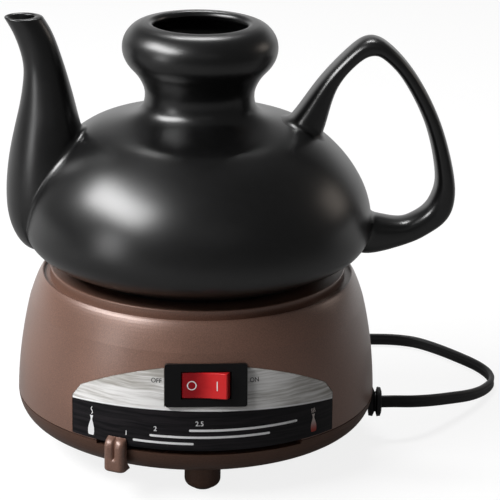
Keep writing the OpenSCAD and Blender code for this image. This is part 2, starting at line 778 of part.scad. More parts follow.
module thermal_fuse() color("#c8c2b0") set_down() {
    translate([fuse_at[0] - fuse_l / 2, fuse_at[1], shelf_z - fuse_r - tiny])
        rotate([0, 90, 0]) cylinder(r = fuse_r, h = fuse_l, $fn = 32);
    translate([fuse_at[0] - fuse_l / 2 - 6, fuse_at[1], shelf_z - fuse_r - tiny])
        rotate([0, 90, 0]) cylinder(r = 0.5, h = 7, $fn = 16);
}

module fuse_clip() color(steel) set_down() {
    clip_t = 0.6;
    low = shelf_z - 2 * fuse_r - 2 * tiny;
    translate([0, fuse_at[1] + 2.5, 0]) rotate([90, 0, 0]) linear_extrude(5) polygon([
        [-4, low - clip_t], [8, low - clip_t], [9.2, shelf_z - 4 - tiny - clip_t],
        [15.5, shelf_z - 4 - tiny - clip_t], [15.5, shelf_z - 4 - tiny],
        [8.8, shelf_z - 4 - tiny], [7.6, low], [-4, low]]);
}

// ---- Switch ----

pivot_depth = 2.7;
trunnion_l = 1.3;
rocker_end_r = rocker_w / 2 - rocker_gap;
terminal_places = [-7, 0, 7];

module switch_body() color("#202020") set_down() switch_place() {
    difference() {
        union() {
            switch_block(switch_body_w, switch_body_h, switch_face_t + tiny, switch_body_d);
            for (x = terminal_places)
                translate([x - 2.5, switch_body_d - over, -1.2]) cube([5, over + 1, 2.4]);
        }
        switch_block(rocker_w, rocker_h, 0, pivot_depth + rocker_end_r + 0.4);
        translate([0, pivot_depth, -switch_body_h / 2 - over])
            cylinder(r = trunnion_r + trunnion_fit, h = switch_body_h + 2 * over, $fn = 32);
    }
}

module switch_terminals() color("#c9a24a") set_down() switch_place() {
    for (x = terminal_places)
        translate([x - 0.4, switch_body_d + 1 + tiny, -3.1]) cube([0.8, 9, 6.2]);
}

module rocker() color("#c3202b") set_down() switch_place() {
    h = rocker_h - 2 * rocker_gap;
    depth = 4;
    rise = 4.2;
    top = [[rocker_end_r * 0.93, rise - 0.4], [rocker_end_r * 0.88, rise], [rocker_end_r * 0.3, 3.1]];
    arc = [for (a = [-30:10:20]) rocker_end_r * [cos(a), sin(a)]];
    right = concat([[rocker_end_r * 0.8, -depth]],
        [for (p = arc) if (p[1] > -depth && p[1] < rise - 0.6) p], top);
    translate([0, pivot_depth, 0]) rotate([0, 0, -rocker_lean]) {
        translate([0, 0, -h / 2]) linear_extrude(h) mirror([0, 1])
            polygon(concat(right, [for (p = reversed(right)) [-p[0], p[1]]]));
        translate([0, 0, -h / 2 - trunnion_l]) cylinder(r = trunnion_r, h = h + 2 * trunnion_l, $fn = 32);
    }
}

// ---- Lever ----

spindle_low_z = 19;
clip_z = arm_z - 1.6;

module thermostat_spindle() color(steel) set_down() {
    difference() {
        translate([0, 0, spindle_low_z])
            cylinder(r = spindle_r, h = ceramic_low_z + 1 - spindle_low_z, $fn = 48);
        translate([0, 0, clip_z - tiny]) difference() {
            cylinder(r = spindle_r + over, h = 1.1);
            cylinder(r = spindle_r - 0.6, h = 1.1);
        }
    }
}

module spindle_clip() color(steel) set_down() {
    translate([0, 0, clip_z]) difference() {
        cylinder(r = spindle_r + 2.2, h = 1);
        translate([0, 0, -over]) cylinder(r = spindle_r - 0.6 + tiny, h = 3);
        translate([-1.8, 0, -over]) cube([3.6, 10, 3]);
    }
}

arm_tip_r = knob_front_r - 2;

module lever_arm() color(steel) set_down() at(knob_at) {
    difference() {
        union() {
            translate([0, 0, arm_z]) cylinder(r = 8, h = arm_t, $fn = 48);
            translate([-arm_w / 2, -arm_tip_r, arm_z]) cube([arm_w, arm_tip_r, arm_t]);
            translate([0, 0, arm_z]) cylinder(r = spindle_r + 1.6, h = 5, $fn = 48);
        }
        translate([0, 0, arm_z - over]) cylinder(r = spindle_r + tiny, h = 8, $fn = 48);
    }
}

module temperature_knob() color(brown) set_down() {
    round_r = 4.6;
    soft = 1;
    top_edge = [for (a = [0:15:90])
        [knob_front_r - round_r, knob_top_z - round_r] + round_r * [cos(a), sin(a)]];
    low_edge = [for (a = [-90:30:0]) [knob_front_r - soft, knob_z + soft] + soft * [cos(a), sin(a)]];
    back_r = housing_r - 9;
    difference() {
        at(knob_at) translate([knob_w / 2, 0, 0]) rotate([0, 0, 180]) rotate([90, 0, 90])
            linear_extrude(knob_w) polygon(concat(
                [[back_r, knob_z]], low_edge, top_edge, [[back_r, knob_top_z]]));
        base_solid(panel_proud + knob_fit);
        at(knob_at) {
            translate([-arm_w / 2 - tiny, -arm_tip_r - tiny, arm_z - tiny])
                cube([arm_w + 2 * tiny, arm_tip_r, arm_t + 2 * tiny]);
            translate([-0.7, -knob_front_r - over, knob_z + (knob_top_z - knob_z) * 0.4])
                cube([1.4, over + 0.9, knob_top_z]);
            translate([-0.7, -knob_front_r - over, knob_top_z - 0.9]) cube([1.4, 12, over + 1]);
        }
    }
}

// ---- Electrics in the tray ----

block_r = 40;
block_w = 24;
block_d = 14;
block_h = 11;

module terminal_block() color(ivory) set_down() at(bush_at) {
    difference() {
        translate([-block_w / 2, -block_r - block_d / 2, tray_floor_z + tiny])
            cube([block_w, block_d, block_h]);
        for (x = [-6, 6]) translate([x, -block_r, tray_floor_z + 4])
            cylinder(r = 2, h = block_h, $fn = 24);
    }
}

module inner_cord() color(rubber) set_down() at(bush_at) {
    translate([-cord_w / 2, -bush_inner_r + tiny, bush_z - cord_t / 2])
        cube([cord_w, bush_inner_r - block_r - block_d / 2 - 2 * tiny, cord_t]);
}

module cord_bush() color(rubber) set_down() {
    flange_t = 2;
    bush_place() rotate_extrude($fn = 48) polygon([
        [0, bush_inner_r], [bush_neck_r - 0.7, bush_inner_r], [bush_neck_r, bush_inner_r + 6],
        [bush_neck_r, bush_out_r - 6], [bush_flange_r - 0.3, bush_out_r - 5.6],
        [bush_flange_r, bush_out_r - 3.9], [bush_neck_r + 1, bush_out_r - 3],
        [bush_neck_r + 1, bush_out_r - 2.6], [bush_flange_r, bush_out_r - flange_t],
        [bush_flange_r - 0.2, bush_out_r - 0.5], [bush_neck_r + 1.4, bush_out_r], [0, bush_out_r]]);
}

module housing_screws() color(steel) set_down() {
    around(boss_angles, boss_circle_r) translate([0, 0, tray_z + counterbore_h - tiny])
        short_screw(screw_l - 1);
}

// ---- Cord ----

// The free stretches follow these points, from the bush to the coil and from the coil to the plug
coil_gap = 0.5;
tie_room = 1;
coil_x = 24;
coil_r = 37.5;
coil_y = 145;
coil_turns = 5;
coil_pitch = cord_t + 0.6;
coil_draw = 4;
coil_low_z = cord_w / 2 + tie_room;
coil_high_z = coil_low_z + cord_w + coil_gap;
floor_z = cord_w / 2;
bush_end = bush_out_r * [sin(bush_at), -cos(bush_at)];
lead_route = [
    [bush_end[0], bush_end[1], bush_z],
    [88, -5.6, bush_z],
    [96, -3.5, 14.8],
    [106, 3, 12.6],
    [117, 13.5, 9.4],
    [127, 24, 6.4],
    [135, 35, 4.2],
    [141, 47, 3],
    [142, 58, floor_z],
    [138, 70, floor_z],
    [130, 82.5, floor_z],
    [122, 93, floor_z],
    [113, 102, floor_z],
    [103, 106, floor_z],
    [92, 107, floor_z],
    [76, 107.2, floor_z],
    [60, 107.4, floor_z],
    [46, 107.5, 3],
    [34, 107.5, coil_low_z],
    [coil_x, coil_y - coil_r, coil_low_z]
];
tail_route = [
    [coil_x, coil_y - coil_r, coil_high_z],
    [16, 107.5, coil_high_z],
    [8, 107, 9.6],
    [0, 106, 8.4],
    [-8, 104.8, 7],
    [-15, 104.1, 6.2],
    [-22, 104, plug_t / 2],
    [-27, 104, plug_t / 2]
];

// A flat section that stands on its edge, square to the cord's way
function flat_ring(p, way, shape) =
    let (w = unit([way[0], way[1], 0]), side = [w[1], -w[0], 0], up = cross(side, unit(way)))
    [for (q = shape) p + side * q[0] * cord_t / 2 - up * q[1] * cord_w / 2];
half_of_8 = [[0.5, 1], [1, 0.75], [1, -0.75], [0.5, -1]];
oval_8 = concat(half_of_8, [for (q = half_of_8) -q]);
oval_6 = [[0, 1], [1, 0.7], [1, -0.7], [0, -1], [-1, -0.7], [-1, 0.7]];

// The first and last section stand square to what the cord meets there
module flat_cord(route, steps, first_way, last_way) {
    line = smooth(route, steps);
    last = len(line) - 1;
    skin([for (i = [0:last])
        flat_ring(line[i], i == 0 ? first_way : i == last ? last_way : along(line, i), oval_8)]);
}

module cord_lead() color(rubber) set_down() {
    flat_cord(lead_route, 3, [sin(bush_at), -cos(bush_at), 0], [-1, 0, 0]);
}

module cord_tail() color(rubber) set_down() {
    flat_cord(tail_route, 3, [-1, 0, 0], [-1, 0, 0]);
}

// The coil spirals in on the lower layer, climbs where it reverses, and spirals out on the upper one
rings_a_loop = 24;
function coil_at(t) =
    let (s = t - coil_turns / 2, near = abs(s) < 0.5 ? (1 + cos(360 * s)) / 2 : 0,
        r = coil_r - coil_pitch * (coil_turns / 2 - abs(s)) - coil_draw * near,
        up = s < -0.25 ? 0 : s > 0.25 ? 1 : (1 + sin(360 * s)) / 2)
    [r, lerp(coil_low_z, coil_high_z, up)];
coil_sections = [for (i = [0:coil_turns * rings_a_loop]) coil_at(i / rings_a_loop)];
coil_line = [for (i = [0:len(coil_sections) - 1])
    let (a = -90 - 360 * i / rings_a_loop, c = coil_sections[i])
    [coil_x + c[0] * cos(a), coil_y + c[0] * sin(a), c[1]]];
function coil_way(i) = let (a = -90 - 360 * i / rings_a_loop) [sin(a), -cos(a), 0];
coil_gaps = [for (i = [0:len(coil_sections) - 1])
    for (j = [i + rings_a_loop:rings_a_loop:len(coil_sections) - 1])
        let (d = coil_sections[i] - coil_sections[j])
        norm([max(abs(d[0]) - cord_t, 0), max(abs(d[1]) - cord_w, 0)])];
function sum(list) = list * [for (x = list) 1];
function path_length(line) = sum([for (i = [1:len(line) - 1]) norm(line[i] - line[i - 1])]);
echo(coil_least_gap = min(coil_gaps));
echo(cord_length = path_length(smooth(lead_route, 3)) + path_length(coil_line)
    + path_length(smooth(tail_route, 3)));

module cord_coil() color(rubber) set_down() {
    skin([for (i = [0:len(coil_line) - 1]) flat_ring(coil_line[i], coil_way(i), oval_6)]);
}

// The tie's band lies round the turns on the coil's far side
module cord_tie() color(rubber) set_down() {
    tie_t = 0.7;
    tie_w = 6;
    inner_r = coil_r - coil_pitch * coil_turns / 2 - cord_t / 2 - 0.4;
    outer_r = coil_r + cord_t / 2 + 0.4;
    top_z = coil_high_z + cord_w / 2 + 0.3;
    translate([coil_x - tie_w / 2, coil_y, 0]) rotate([90, 0, 90]) linear_extrude(tie_w)
        difference() {
            translate([inner_r - tie_t, 0]) square([outer_r - inner_r + 2 * tie_t, top_z + tie_t]);
            translate([inner_r, tie_t]) square([outer_r - inner_r, top_z - tie_t]);
        }
}

plug_end = tail_route[len(tail_route) - 1];
module plug_place() {
    translate([plug_end[0], plug_end[1], 0]) children();
}

module plug_body() color(rubber) set_down() plug_place() {
    neck_l = 8;
    neck_w = 12;
    grip = [[0, 5], [neck_l - 2, 6], [neck_l + 2, plug_w / 2 - 1.5], [neck_l + 6, plug_w / 2],
        [neck_l + 9, plug_w / 2 - 0.8], [neck_l + 14, plug_w / 2 - 0.8], [plug_l - 1, plug_w / 2],
        [plug_l, plug_w / 2 - 1]];
    difference() {
        rotate([0, 0, 180]) linear_extrude(plug_t)
            polygon(concat(grip, [for (p = reversed(grip)) [p[0], -p[1]]]));
        for (z = [-over, plug_t - 1.2]) for (i = [0:2])
            translate([-neck_l - 8 - i * 4, -neck_w / 2, z]) cube([1.6, neck_w, 1.2 + over]);
        for (z = [-over, plug_t - 2])
            translate([-neck_l + 1, -plug_w, z]) cube([neck_l, 2 * plug_w, 2 + over]);
    }
}

module plug_blades() color("#c9a24a") set_down() plug_place() {
    blade_l = 17;
    for (y = [-6.35, 6.35]) translate([-plug_l - blade_l - tiny, y - 0.75, plug_t / 2 - 3.15])
        difference() {
            cube([blade_l, 1.5, 6.3]);
            translate([4, -over, 3.15]) rotate([-90, 0, 0]) cylinder(r = 1.6, h = 4, $fn = 24);
        }
}

pot_floor();
pot_body();
pot_shoulder();
pot_neck();
pot_spout();
pot_handle();
upper_housing();
bottom_tray();
foot_pads();
collar_ring();
control_panel();
switch_plate();
heater_plate();
heating_element();
heat_shield();
shield_screws();
thermostat();
thermostat_screws();
thermal_fuse();
fuse_clip();
collar_screws();
switch_body();
switch_terminals();
terminal_block();
inner_cord();
cord_bush();
housing_screws();
thermostat_spindle();
lever_arm();
spindle_clip();
temperature_knob();
rocker();
cord_lead();
cord_coil();
cord_tail();
cord_tie();
plug_body();
plug_blades();
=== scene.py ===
import json
import math
import bpy
import bmesh
from mathutils import Vector, Matrix


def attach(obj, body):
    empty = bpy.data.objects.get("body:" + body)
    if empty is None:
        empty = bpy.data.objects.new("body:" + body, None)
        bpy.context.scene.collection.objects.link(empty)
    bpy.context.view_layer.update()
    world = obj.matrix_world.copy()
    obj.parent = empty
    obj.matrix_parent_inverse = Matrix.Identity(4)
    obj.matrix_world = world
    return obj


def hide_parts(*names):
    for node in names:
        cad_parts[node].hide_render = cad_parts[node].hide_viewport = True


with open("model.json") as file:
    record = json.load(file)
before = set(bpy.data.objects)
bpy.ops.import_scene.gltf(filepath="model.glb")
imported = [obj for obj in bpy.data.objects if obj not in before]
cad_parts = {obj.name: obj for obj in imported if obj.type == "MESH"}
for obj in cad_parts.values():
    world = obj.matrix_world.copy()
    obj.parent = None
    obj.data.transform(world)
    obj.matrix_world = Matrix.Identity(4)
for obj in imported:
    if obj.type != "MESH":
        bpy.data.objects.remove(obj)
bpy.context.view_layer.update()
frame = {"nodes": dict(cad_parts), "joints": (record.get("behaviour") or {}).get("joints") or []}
nodes = frame["nodes"]
base_x = next(j for j in frame["joints"] if j["name"] == "lever_turn")["pos_m"][0]
MM = 0.001


# ---- Helpers ----

def smooth_line(points, steps):
    """Catmull-Rom through points of any length."""
    out, last = [], len(points) - 1
    for i in range(last):
        p0, p1, p2, p3 = (points[max(i - 1, 0)], points[i], points[i + 1], points[min(i + 2, last)])
        for k in range(steps):
            t = k / steps
            out.append([(2 * b + (c - a) * t + (2 * a - 5 * b + 4 * c - d) * t * t
                         + (3 * b - a - 3 * c + d) * t ** 3) / 2 for a, b, c, d in zip(p0, p1, p2, p3)])
    out.append(list(points[last]))
    return out


def relax(points, times):
    """Evens out the curvature of a polyline, ends kept."""
    for _ in range(times):
        inner = [[(a + 2 * b + c) / 4 for a, b, c in zip(*points[i - 1:i + 2])]
                 for i in range(1, len(points) - 1)]
        points = [points[0]] + inner + [points[-1]]
    return points


def evenly(points, step):
    """Points at one spacing along a polyline."""
    out, left = [points[0]], step
    for a, b in zip(points, points[1:]):
        d = math.dist(a, b)
        at = left
        while at <= d and d > 0:
            out.append([p + (q - p) * at / d for p, q in zip(a, b)])
            at += step
        left = at - d
    if math.dist(out[-1], points[-1]) < step * 0.4:
        out.pop()
    out.append(points[-1])
    return out


def make(name, verts, faces, body, material, smooth=True, sharp=None):
    mesh = bpy.data.meshes.new(name)
    mesh.from_pydata([Vector(v) * MM + Vector((base_x, 0, 0)) for v in verts], [], faces)
    mesh.validate()
    bm = bmesh.new()
    bm.from_mesh(mesh)
    bmesh.ops.remove_doubles(bm, verts=bm.verts, dist=1e-7)
    bmesh.ops.recalc_face_normals(bm, faces=bm.faces)
    bm.to_mesh(mesh)
    bm.free()
    if smooth:
        mesh.polygons.foreach_set("use_smooth", [True] * len(mesh.polygons))
        if sharp:
            mesh.set_sharp_from_angle(angle=math.radians(sharp))
    obj = bpy.data.objects.new(name, mesh)
    bpy.context.scene.collection.objects.link(obj)
    obj.data.materials.append(material)
    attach(obj, body)
    return obj


def tube(rings, closed_ends=True):
    """Vertices and faces of a skin over rings of one length."""
    n = len(rings[0])
    verts = [p for ring in rings for p in ring]
    faces = [(i * n + k, i * n + (k + 1) % n, (i + 1) * n + (k + 1) % n, (i + 1) * n + k)
             for i in range(len(rings) - 1) for k in range(n)]
    if closed_ends:
        faces.append(tuple(range(n))[::-1])
        faces.append(tuple((len(rings) - 1) * n + k for k in range(n)))
    return verts, faces


def lathe(profile, segments=192):
    """Vertices and faces of a closed profile, from the axis back to the axis, turned about it."""
    rings = [[(r * math.cos(2 * math.pi * k / segments), r * math.sin(2 * math.pi * k / segments), z)
              for k in range(segments)] for r, z in profile]
    return tube(rings, closed_ends=False)


# ---- Materials ----

def material(name, color=(0.8, 0.8, 0.8), rough=0.5, metallic=0.0, spec=0.5, coat=0.0, coat_rough=0.1):
    m = bpy.data.materials.new(name)
    m.use_nodes = True
    b = m.node_tree.nodes["Principled BSDF"]
    b.inputs["Base Color"].default_value = (*color, 1)
    b.inputs["Roughness"].default_value = rough
    b.inputs["Metallic"].default_value = metallic
    b.inputs["Specular IOR Level"].default_value = spec
    b.inputs["Coat Weight"].default_value = coat
    b.inputs["Coat Roughness"].default_value = coat_rough
    m.diffuse_color = (*color, 1)
    return m


class Nodes:
    """Short words for building a material's node tree."""

    def __init__(self, m):
        self.tree = m.node_tree
        self.bsdf = self.tree.nodes["Principled BSDF"]
        self.coords = self.add("ShaderNodeTexCoord").outputs["Object"]

    def add(self, kind, **values):
        n = self.tree.nodes.new(kind)
        for key, value in values.items():
            setattr(n, key, value)
        return n

    def feed(self, socket, value):
        if hasattr(value, "is_output"):
            self.tree.links.new(value, socket)
        else:
            socket.default_value = value

    def math(self, op, a, b=0.0, c=0.0, clamp=False):
        n = self.add("ShaderNodeMath", operation=op, use_clamp=clamp)
        for i, v in enumerate((a, b, c)):
            self.feed(n.inputs[i], v)
        return n.outputs[0]

    def ramp(self, value, lo, hi, a=0.0, b=1.0):
        n = self.add("ShaderNodeMapRange", interpolation_type="SMOOTHSTEP")
        self.feed(n.inputs["Value"], value)
        for key, v in zip(("From Min", "From Max", "To Min", "To Max"), (lo, hi, a, b)):
            n.inputs[key].default_value = v
        return n.outputs["Result"]

    def noise(self, scale, detail=3.0, stretch=(1, 1, 1), vector=None, rough=0.5):
        mapping = self.add("ShaderNodeMapping")
        self.feed(mapping.inputs["Vector"], vector if vector is not None else self.coords)
        mapping.inputs["Scale"].default_value = stretch
        n = self.add("ShaderNodeTexNoise")
        self.feed(n.inputs["Vector"], mapping.outputs[0])
        n.inputs["Scale"].default_value = scale
        n.inputs["Detail"].default_value = detail
        n.inputs["Roughness"].default_value = rough
        return n.outputs["Fac"]

    def mix(self, fac, a, b):
        n = self.add("ShaderNodeMix", data_type="RGBA")
        self.feed(n.inputs["Factor"], fac)
        self.feed(n.inputs["A"], a if hasattr(a, "is_output") else (*a, 1))
        self.feed(n.inputs["B"], b if hasattr(b, "is_output") else (*b, 1))
        return n.outputs["Result"]

    def bump(self, height, strength, distance):
        n = self.add("ShaderNodeBump")
        n.inputs["Strength"].default_value = strength
        n.inputs["Distance"].default_value = distance
        self.feed(n.inputs["Height"], height)
        self.feed(self.bsdf.inputs["Normal"], n.outputs["Normal"])


def speckled(name, color, rough, metallic, spec=0.5, grain=900.0, depth=0.00004, spread=0.12, coat=0.0,
             coat_rough=0.1):
    """A plain finish with fine grain, slow changes of tone and a little unevenness of gloss."""
    m = material(name, color, rough, metallic, spec, coat, coat_rough)
    n = Nodes(m)
    fine, slow = n.noise(grain, 2.0), n.noise(18.0, 2.0)
    tone = n.math("ADD", n.math("MULTIPLY", fine, 0.6), n.math("MULTIPLY", slow, 0.4))
    dark, light = [c * (1 - spread) for c in color], [min(1, c * (1 + spread)) for c in color]
    n.feed(n.bsdf.inputs["Base Color"], n.mix(n.ramp(tone, 0.3, 0.7), dark, light))
    n.feed(n.bsdf.inputs["Roughness"], n.ramp(slow, 0.3, 0.7, rough * 0.93, rough * 1.07))
    n.bump(fine, 0.25, depth)
    return m


glaze = speckled("glaze", (0.003, 0.003, 0.0032), 0.31, 0.0, 0.8,
                 grain=260.0, depth=0.00003, spread=0.3)
shell = speckled("shell_paint", (0.22, 0.113, 0.079), 0.44, 0.25, 0.5,
                 grain=2600.0, depth=0.00002, spread=0.3, coat=1.0, coat_rough=0.33)
tray = speckled("tray_plastic", (0.11, 0.056, 0.038), 0.42, 0.3, 0.45,
                grain=2600.0, depth=0.00002, spread=0.25)
black = speckled("black_plastic", (0.004, 0.004, 0.0045), 0.36, 0.0, 0.3, grain=1500.0)
rubber = speckled("cord_rubber", (0.010, 0.0095, 0.0105), 0.45, 0.0, 0.35, grain=1200.0)
steel = speckled("zinc_steel", (0.55, 0.55, 0.56), 0.32, 1.0, grain=700.0)
cast = speckled("cast_aluminium", (0.42, 0.42, 0.43), 0.45, 1.0, grain=500.0, depth=0.00008)
sheath = speckled("element_sheath", (0.2, 0.19, 0.185), 0.5, 1.0, grain=500.0)
ceramic = speckled("white_ceramic", (0.72, 0.7, 0.64), 0.6, 0.0, grain=600.0, spread=0.05)
brass = speckled("brass", (0.72, 0.52, 0.24), 0.3, 1.0, grain=700.0)
white_ink = speckled("white_ink", (0.83, 0.83, 0.84), 0.4, 0.0, grain=900.0, spread=0.03)
black_ink = speckled("black_ink", (0.02, 0.02, 0.022), 0.4, 0.0, grain=900.0, spread=0.1)

# Painted shade: the rocker's red is darker on its left, where the leaning key is in shade, and brighter on its
# right
lens = material("red_lens", (0.6, 0.014, 0.016), 0.14, 0.0, 0.6)
n = Nodes(lens)
across = n.add("ShaderNodeSeparateXYZ")
n.feed(across.inputs[0], n.coords)
side = n.math("ADD", n.math("SUBTRACT", across.outputs["X"], base_x),
              n.math("MULTIPLY", n.noise(220.0, 3.0), 0.004))
# Painted shade: dark red on the left blends into bright red on the right, with a noisy border
n.feed(n.bsdf.inputs["Base Color"],
       n.mix(n.ramp(side, -0.004, 0.006), (0.28, 0.003, 0.007), (0.66, 0.02, 0.022)))
n.bump(n.noise(500.0, 2.0), 0.2, 0.00001)


# ---- Camera ----

# The photograph's view, fitted to the pot's and base's outlines in a frame of 500 x 500
FOCAL_PX, DISTANCE = 2408.0, 1.046
ELEVATION, AZIMUTH, ROLL = 0.315, math.radians(-3.1), math.radians(0.7)
FRAME_PX, SENSOR = 500, 36
TARGET = Vector((base_x, 0, 0.095))
TARGET_PX = (198.0, 229.05)

ca, sa, ce, se = math.cos(AZIMUTH), math.sin(AZIMUTH), math.cos(ELEVATION), math.sin(ELEVATION)
back = Vector((sa * ce, -ca * ce, se))
right = Vector((ca, sa, 0))
up = back.cross(right)
off = Vector((FRAME_PX / 2 - TARGET_PX[0], TARGET_PX[1] - FRAME_PX / 2))
u = math.cos(ROLL) * off.x - math.sin(ROLL) * off.y
v = math.sin(ROLL) * off.x + math.cos(ROLL) * off.y
ahead = (-back + right * (u / FOCAL_PX) + up * (v / FOCAL_PX)).normalized()
x_axis = (right * math.cos(ROLL) + up * math.sin(ROLL))
x_axis = (x_axis - ahead * x_axis.dot(ahead)).normalized()
y_axis = (-ahead).cross(x_axis)
camera_data = bpy.data.cameras.new("camera")
camera_data.lens = FOCAL_PX / FRAME_PX * SENSOR
camera_data.sensor_width = SENSOR
camera_data.clip_start = 0.05
camera = bpy.data.objects.new("camera", camera_data)
bpy.context.scene.collection.objects.link(camera)
turn = Matrix((x_axis, y_axis, -ahead)).transposed().to_4x4()
camera.matrix_world = Matrix.Translation(TARGET + back * DISTANCE) @ turn
bpy.context.scene.camera = camera


# ---- Cord ----

CORD_W, CORD_T = 5.6, 2.8
BUSH_AT, BUSH_Z, BUSH_OUT_R = math.radians(86), 15.8, 82.4
COIL_X, COIL_Y, COIL_R, COIL_TURNS, COIL_PITCH, COIL_DRAW = 24, 145, 37.5, 5, 3.4, 4
LOW_Z = CORD_W / 2 + 1
HIGH_Z = LOW_Z + CORD_W + 0.5
FLOOR_Z = CORD_W / 2
lead_route = [
    (BUSH_OUT_R * math.sin(BUSH_AT), -BUSH_OUT_R * math.cos(BUSH_AT), BUSH_Z),
    (88, -5.6, BUSH_Z), (96, -3.5, 14.8), (106, 3, 12.6), (117, 13.5, 9.4), (127, 24, 6.4), (135, 35, 4.2),
    (141, 47, 3), (142, 58, FLOOR_Z), (138, 70, FLOOR_Z), (130, 82.5, FLOOR_Z), (122, 93, FLOOR_Z),
    (113, 102, FLOOR_Z), (103, 106, FLOOR_Z), (92, 107, FLOOR_Z), (76, 107.2, FLOOR_Z), (60, 107.4, FLOOR_Z),
    (46, 107.5, 3), (34, 107.5, LOW_Z), (COIL_X, COIL_Y - COIL_R, LOW_Z)]
tail_route = [
    (COIL_X, COIL_Y - COIL_R, HIGH_Z), (16, 107.5, HIGH_Z), (8, 107, 9.6), (0, 106, 8.4), (-8, 104.8, 7),
    (-15, 104.1, 6.2), (-22, 104, 6), (-27, 104, 6)]


def coil_line(rings_a_loop):
    line = []
    for i in range(COIL_TURNS * rings_a_loop + 1):
        t = i / rings_a_loop
        s = t - COIL_TURNS / 2
        near = (1 + math.cos(2 * math.pi * s)) / 2 if abs(s) < 0.5 else 0
        r = COIL_R - COIL_PITCH * (COIL_TURNS / 2 - abs(s)) - COIL_DRAW * near
        rise = 0 if s < -0.25 else 1 if s > 0.25 else (1 + math.sin(2 * math.pi * s)) / 2
        a = -math.pi / 2 - 2 * math.pi * t
        line.append((COIL_X + r * math.cos(a), COIL_Y + r * math.sin(a), LOW_Z + (HIGH_Z - LOW_Z) * rise))
    return line


cord_line = smooth_line(lead_route, 6)[:-1] + coil_line(48)[:-1] + smooth_line(tail_route, 6)
cord_line = evenly(relax(evenly(cord_line, 1.5), 3), 2.0)


def twin_section(sides=9):
    """Half of a figure eight is one strand, seen along the cord, one above the other."""
    half = [(CORD_T / 2 * math.sin(a), CORD_W / 4 - CORD_T / 2 * math.cos(a))
            for a in [math.radians(40 + 280 * k / sides) for k in range(sides + 1)]]
    return half + [(-x, -y) for x, y in half]


def flat_rings(line, section):
    rings = []
    for i, p in enumerate(line):
        way = Vector(line[min(i + 1, len(line) - 1)]) - Vector(line[max(i - 1, 0)])
        flat = Vector((way.x, way.y, 0)).normalized()
        side = Vector((flat.y, -flat.x, 0))
        lift = side.cross(way.normalized())
        rings.append([Vector(p) + side * x + lift * y for x, y in section])
    return rings


cord = make("twin_cord", *tube(flat_rings(cord_line, twin_section())), "base", rubber, sharp=60)
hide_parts("cord_lead", "cord_coil", "cord_tail")


# ---- Pot ----

POT_H, FOOT_R, BELLY_R, BELLY_H, SHOULDER_R, SHOULDER_H = 108, 47, 75, 18, 45, 63.3
NECK_R, NECK_H, BULB_R, BULB_H, MOUTH_R, POT_WALL = 23.3, 76.5, 33.2, 95.5, 20, 4.5
POT_Z = 78.9
FILLET = 3.2


def between(a, b, f):
    return (a[0] + (b[0] - a[0]) * f[0], a[1] + (b[1] - a[1]) * f[1])


foot, belly, shoulder = (FOOT_R, 0), (BELLY_R, BELLY_H), (SHOULDER_R, SHOULDER_H)
neck, bulb, lip = (NECK_R, NECK_H), (BULB_R, BULB_H), (MOUTH_R + POT_WALL * 0.9, POT_H)
knots = ([foot] + [between(foot, belly, f) for f in ((0.3, 0.17), (0.62, 0.38), (0.87, 0.62))] + [belly]
         + [between(belly, shoulder, f)
            for f in ((0.02, 0.216), (0.113, 0.413), (0.283, 0.607), (0.51, 0.78), (0.76, 0.915))] + [shoulder]
         + [between(shoulder, neck, f) for f in ((0.69, 0.3), (0.945, 0.6))] + [neck]
         + [between(neck, bulb, f) for f in ((0.07, 0.22), (0.37, 0.5), (0.78, 0.73))] + [bulb]
         + [between(bulb, lip, f) for f in ((0.05, 0.44), (0.33, 0.76), (0.62, 0.93))] + [lip])
outside = relax(evenly(smooth_line(knots, 16), 0.8), 9)


def turned(a, b):
    d = math.dist(a, b) or 1
    return (-(b[1] - a[1]) / d, (b[0] - a[0]) / d)


inside = []
for i in range(len(outside)):
    side = turned(outside[max(i - 1, 0)], outside[min(i + 1, len(outside) - 1)])
    inside.append((outside[i][0] + POT_WALL * side[0], outside[i][1] + POT_WALL * side[1]))
nose = [(MOUTH_R + POT_WALL / 2 + POT_WALL / 2 * math.cos(math.radians(a)),
         POT_H - POT_WALL / 2 + POT_WALL / 2 * math.sin(math.radians(a))) for a in range(80, 181, 10)]
cup = [p for p in inside if p[1] > POT_WALL and p[0] > 0 and p[1] < POT_H - POT_WALL * 0.6]
pot_profile = ([(0.001, 0.6), (FOOT_R - 5, 0.6), (FOOT_R - 3.4, 0)] + outside[:-1] + nose + cup[::-1]
               + [(cup[0][0] - 4, POT_WALL), (0.001, POT_WALL)])


def outer_r(z):
    if z <= 0 or z >= POT_H:
        return 0
    for a, b in zip(outside, outside[1:]):
        if a[1] <= z <= b[1]:
            return a[0] + (b[0] - a[0]) * (z - a[1]) / ((b[1] - a[1]) or 1)
    return 0


def on_pot(p, sink=0.03):
    """The nearest place on the pot's outside, and its normal there."""
    r = math.hypot(p[0], p[1])
    i = min(range(1, len(outside) - 1), key=lambda k: math.hypot(outside[k][0] - r, outside[k][1] - p[2]))
    a, b = outside[i - 1], outside[i + 1]
    tx, tz = (b[0] - a[0]), (b[1] - a[1])
    d = math.hypot(tx, tz)
    nr, nz = tz / d, -tx / d
    off = (r - outside[i][0]) * nr + (p[2] - outside[i][1]) * nz
    c, s = p[0] / r, p[1] / r
    n = Vector((nr * c, nr * s, nz))
    return Vector(p) - n * (off + sink), n


def in_pot(p):
    return math.hypot(p[0], p[1]) < outer_r(p[2])


def pot_entry(line):
    """Where a line enters the pot: the first point inside, and the share of the stretch before it."""
    i = next(i for i in range(1, len(line)) if in_pot(line[i]))
    lo, hi = 0.0, 1.0
    for _ in range(20):
        mid = (lo + hi) / 2
        if in_pot(line[i - 1].lerp(line[i], mid)):
            hi = mid
        else:
            lo = mid
    return i, hi


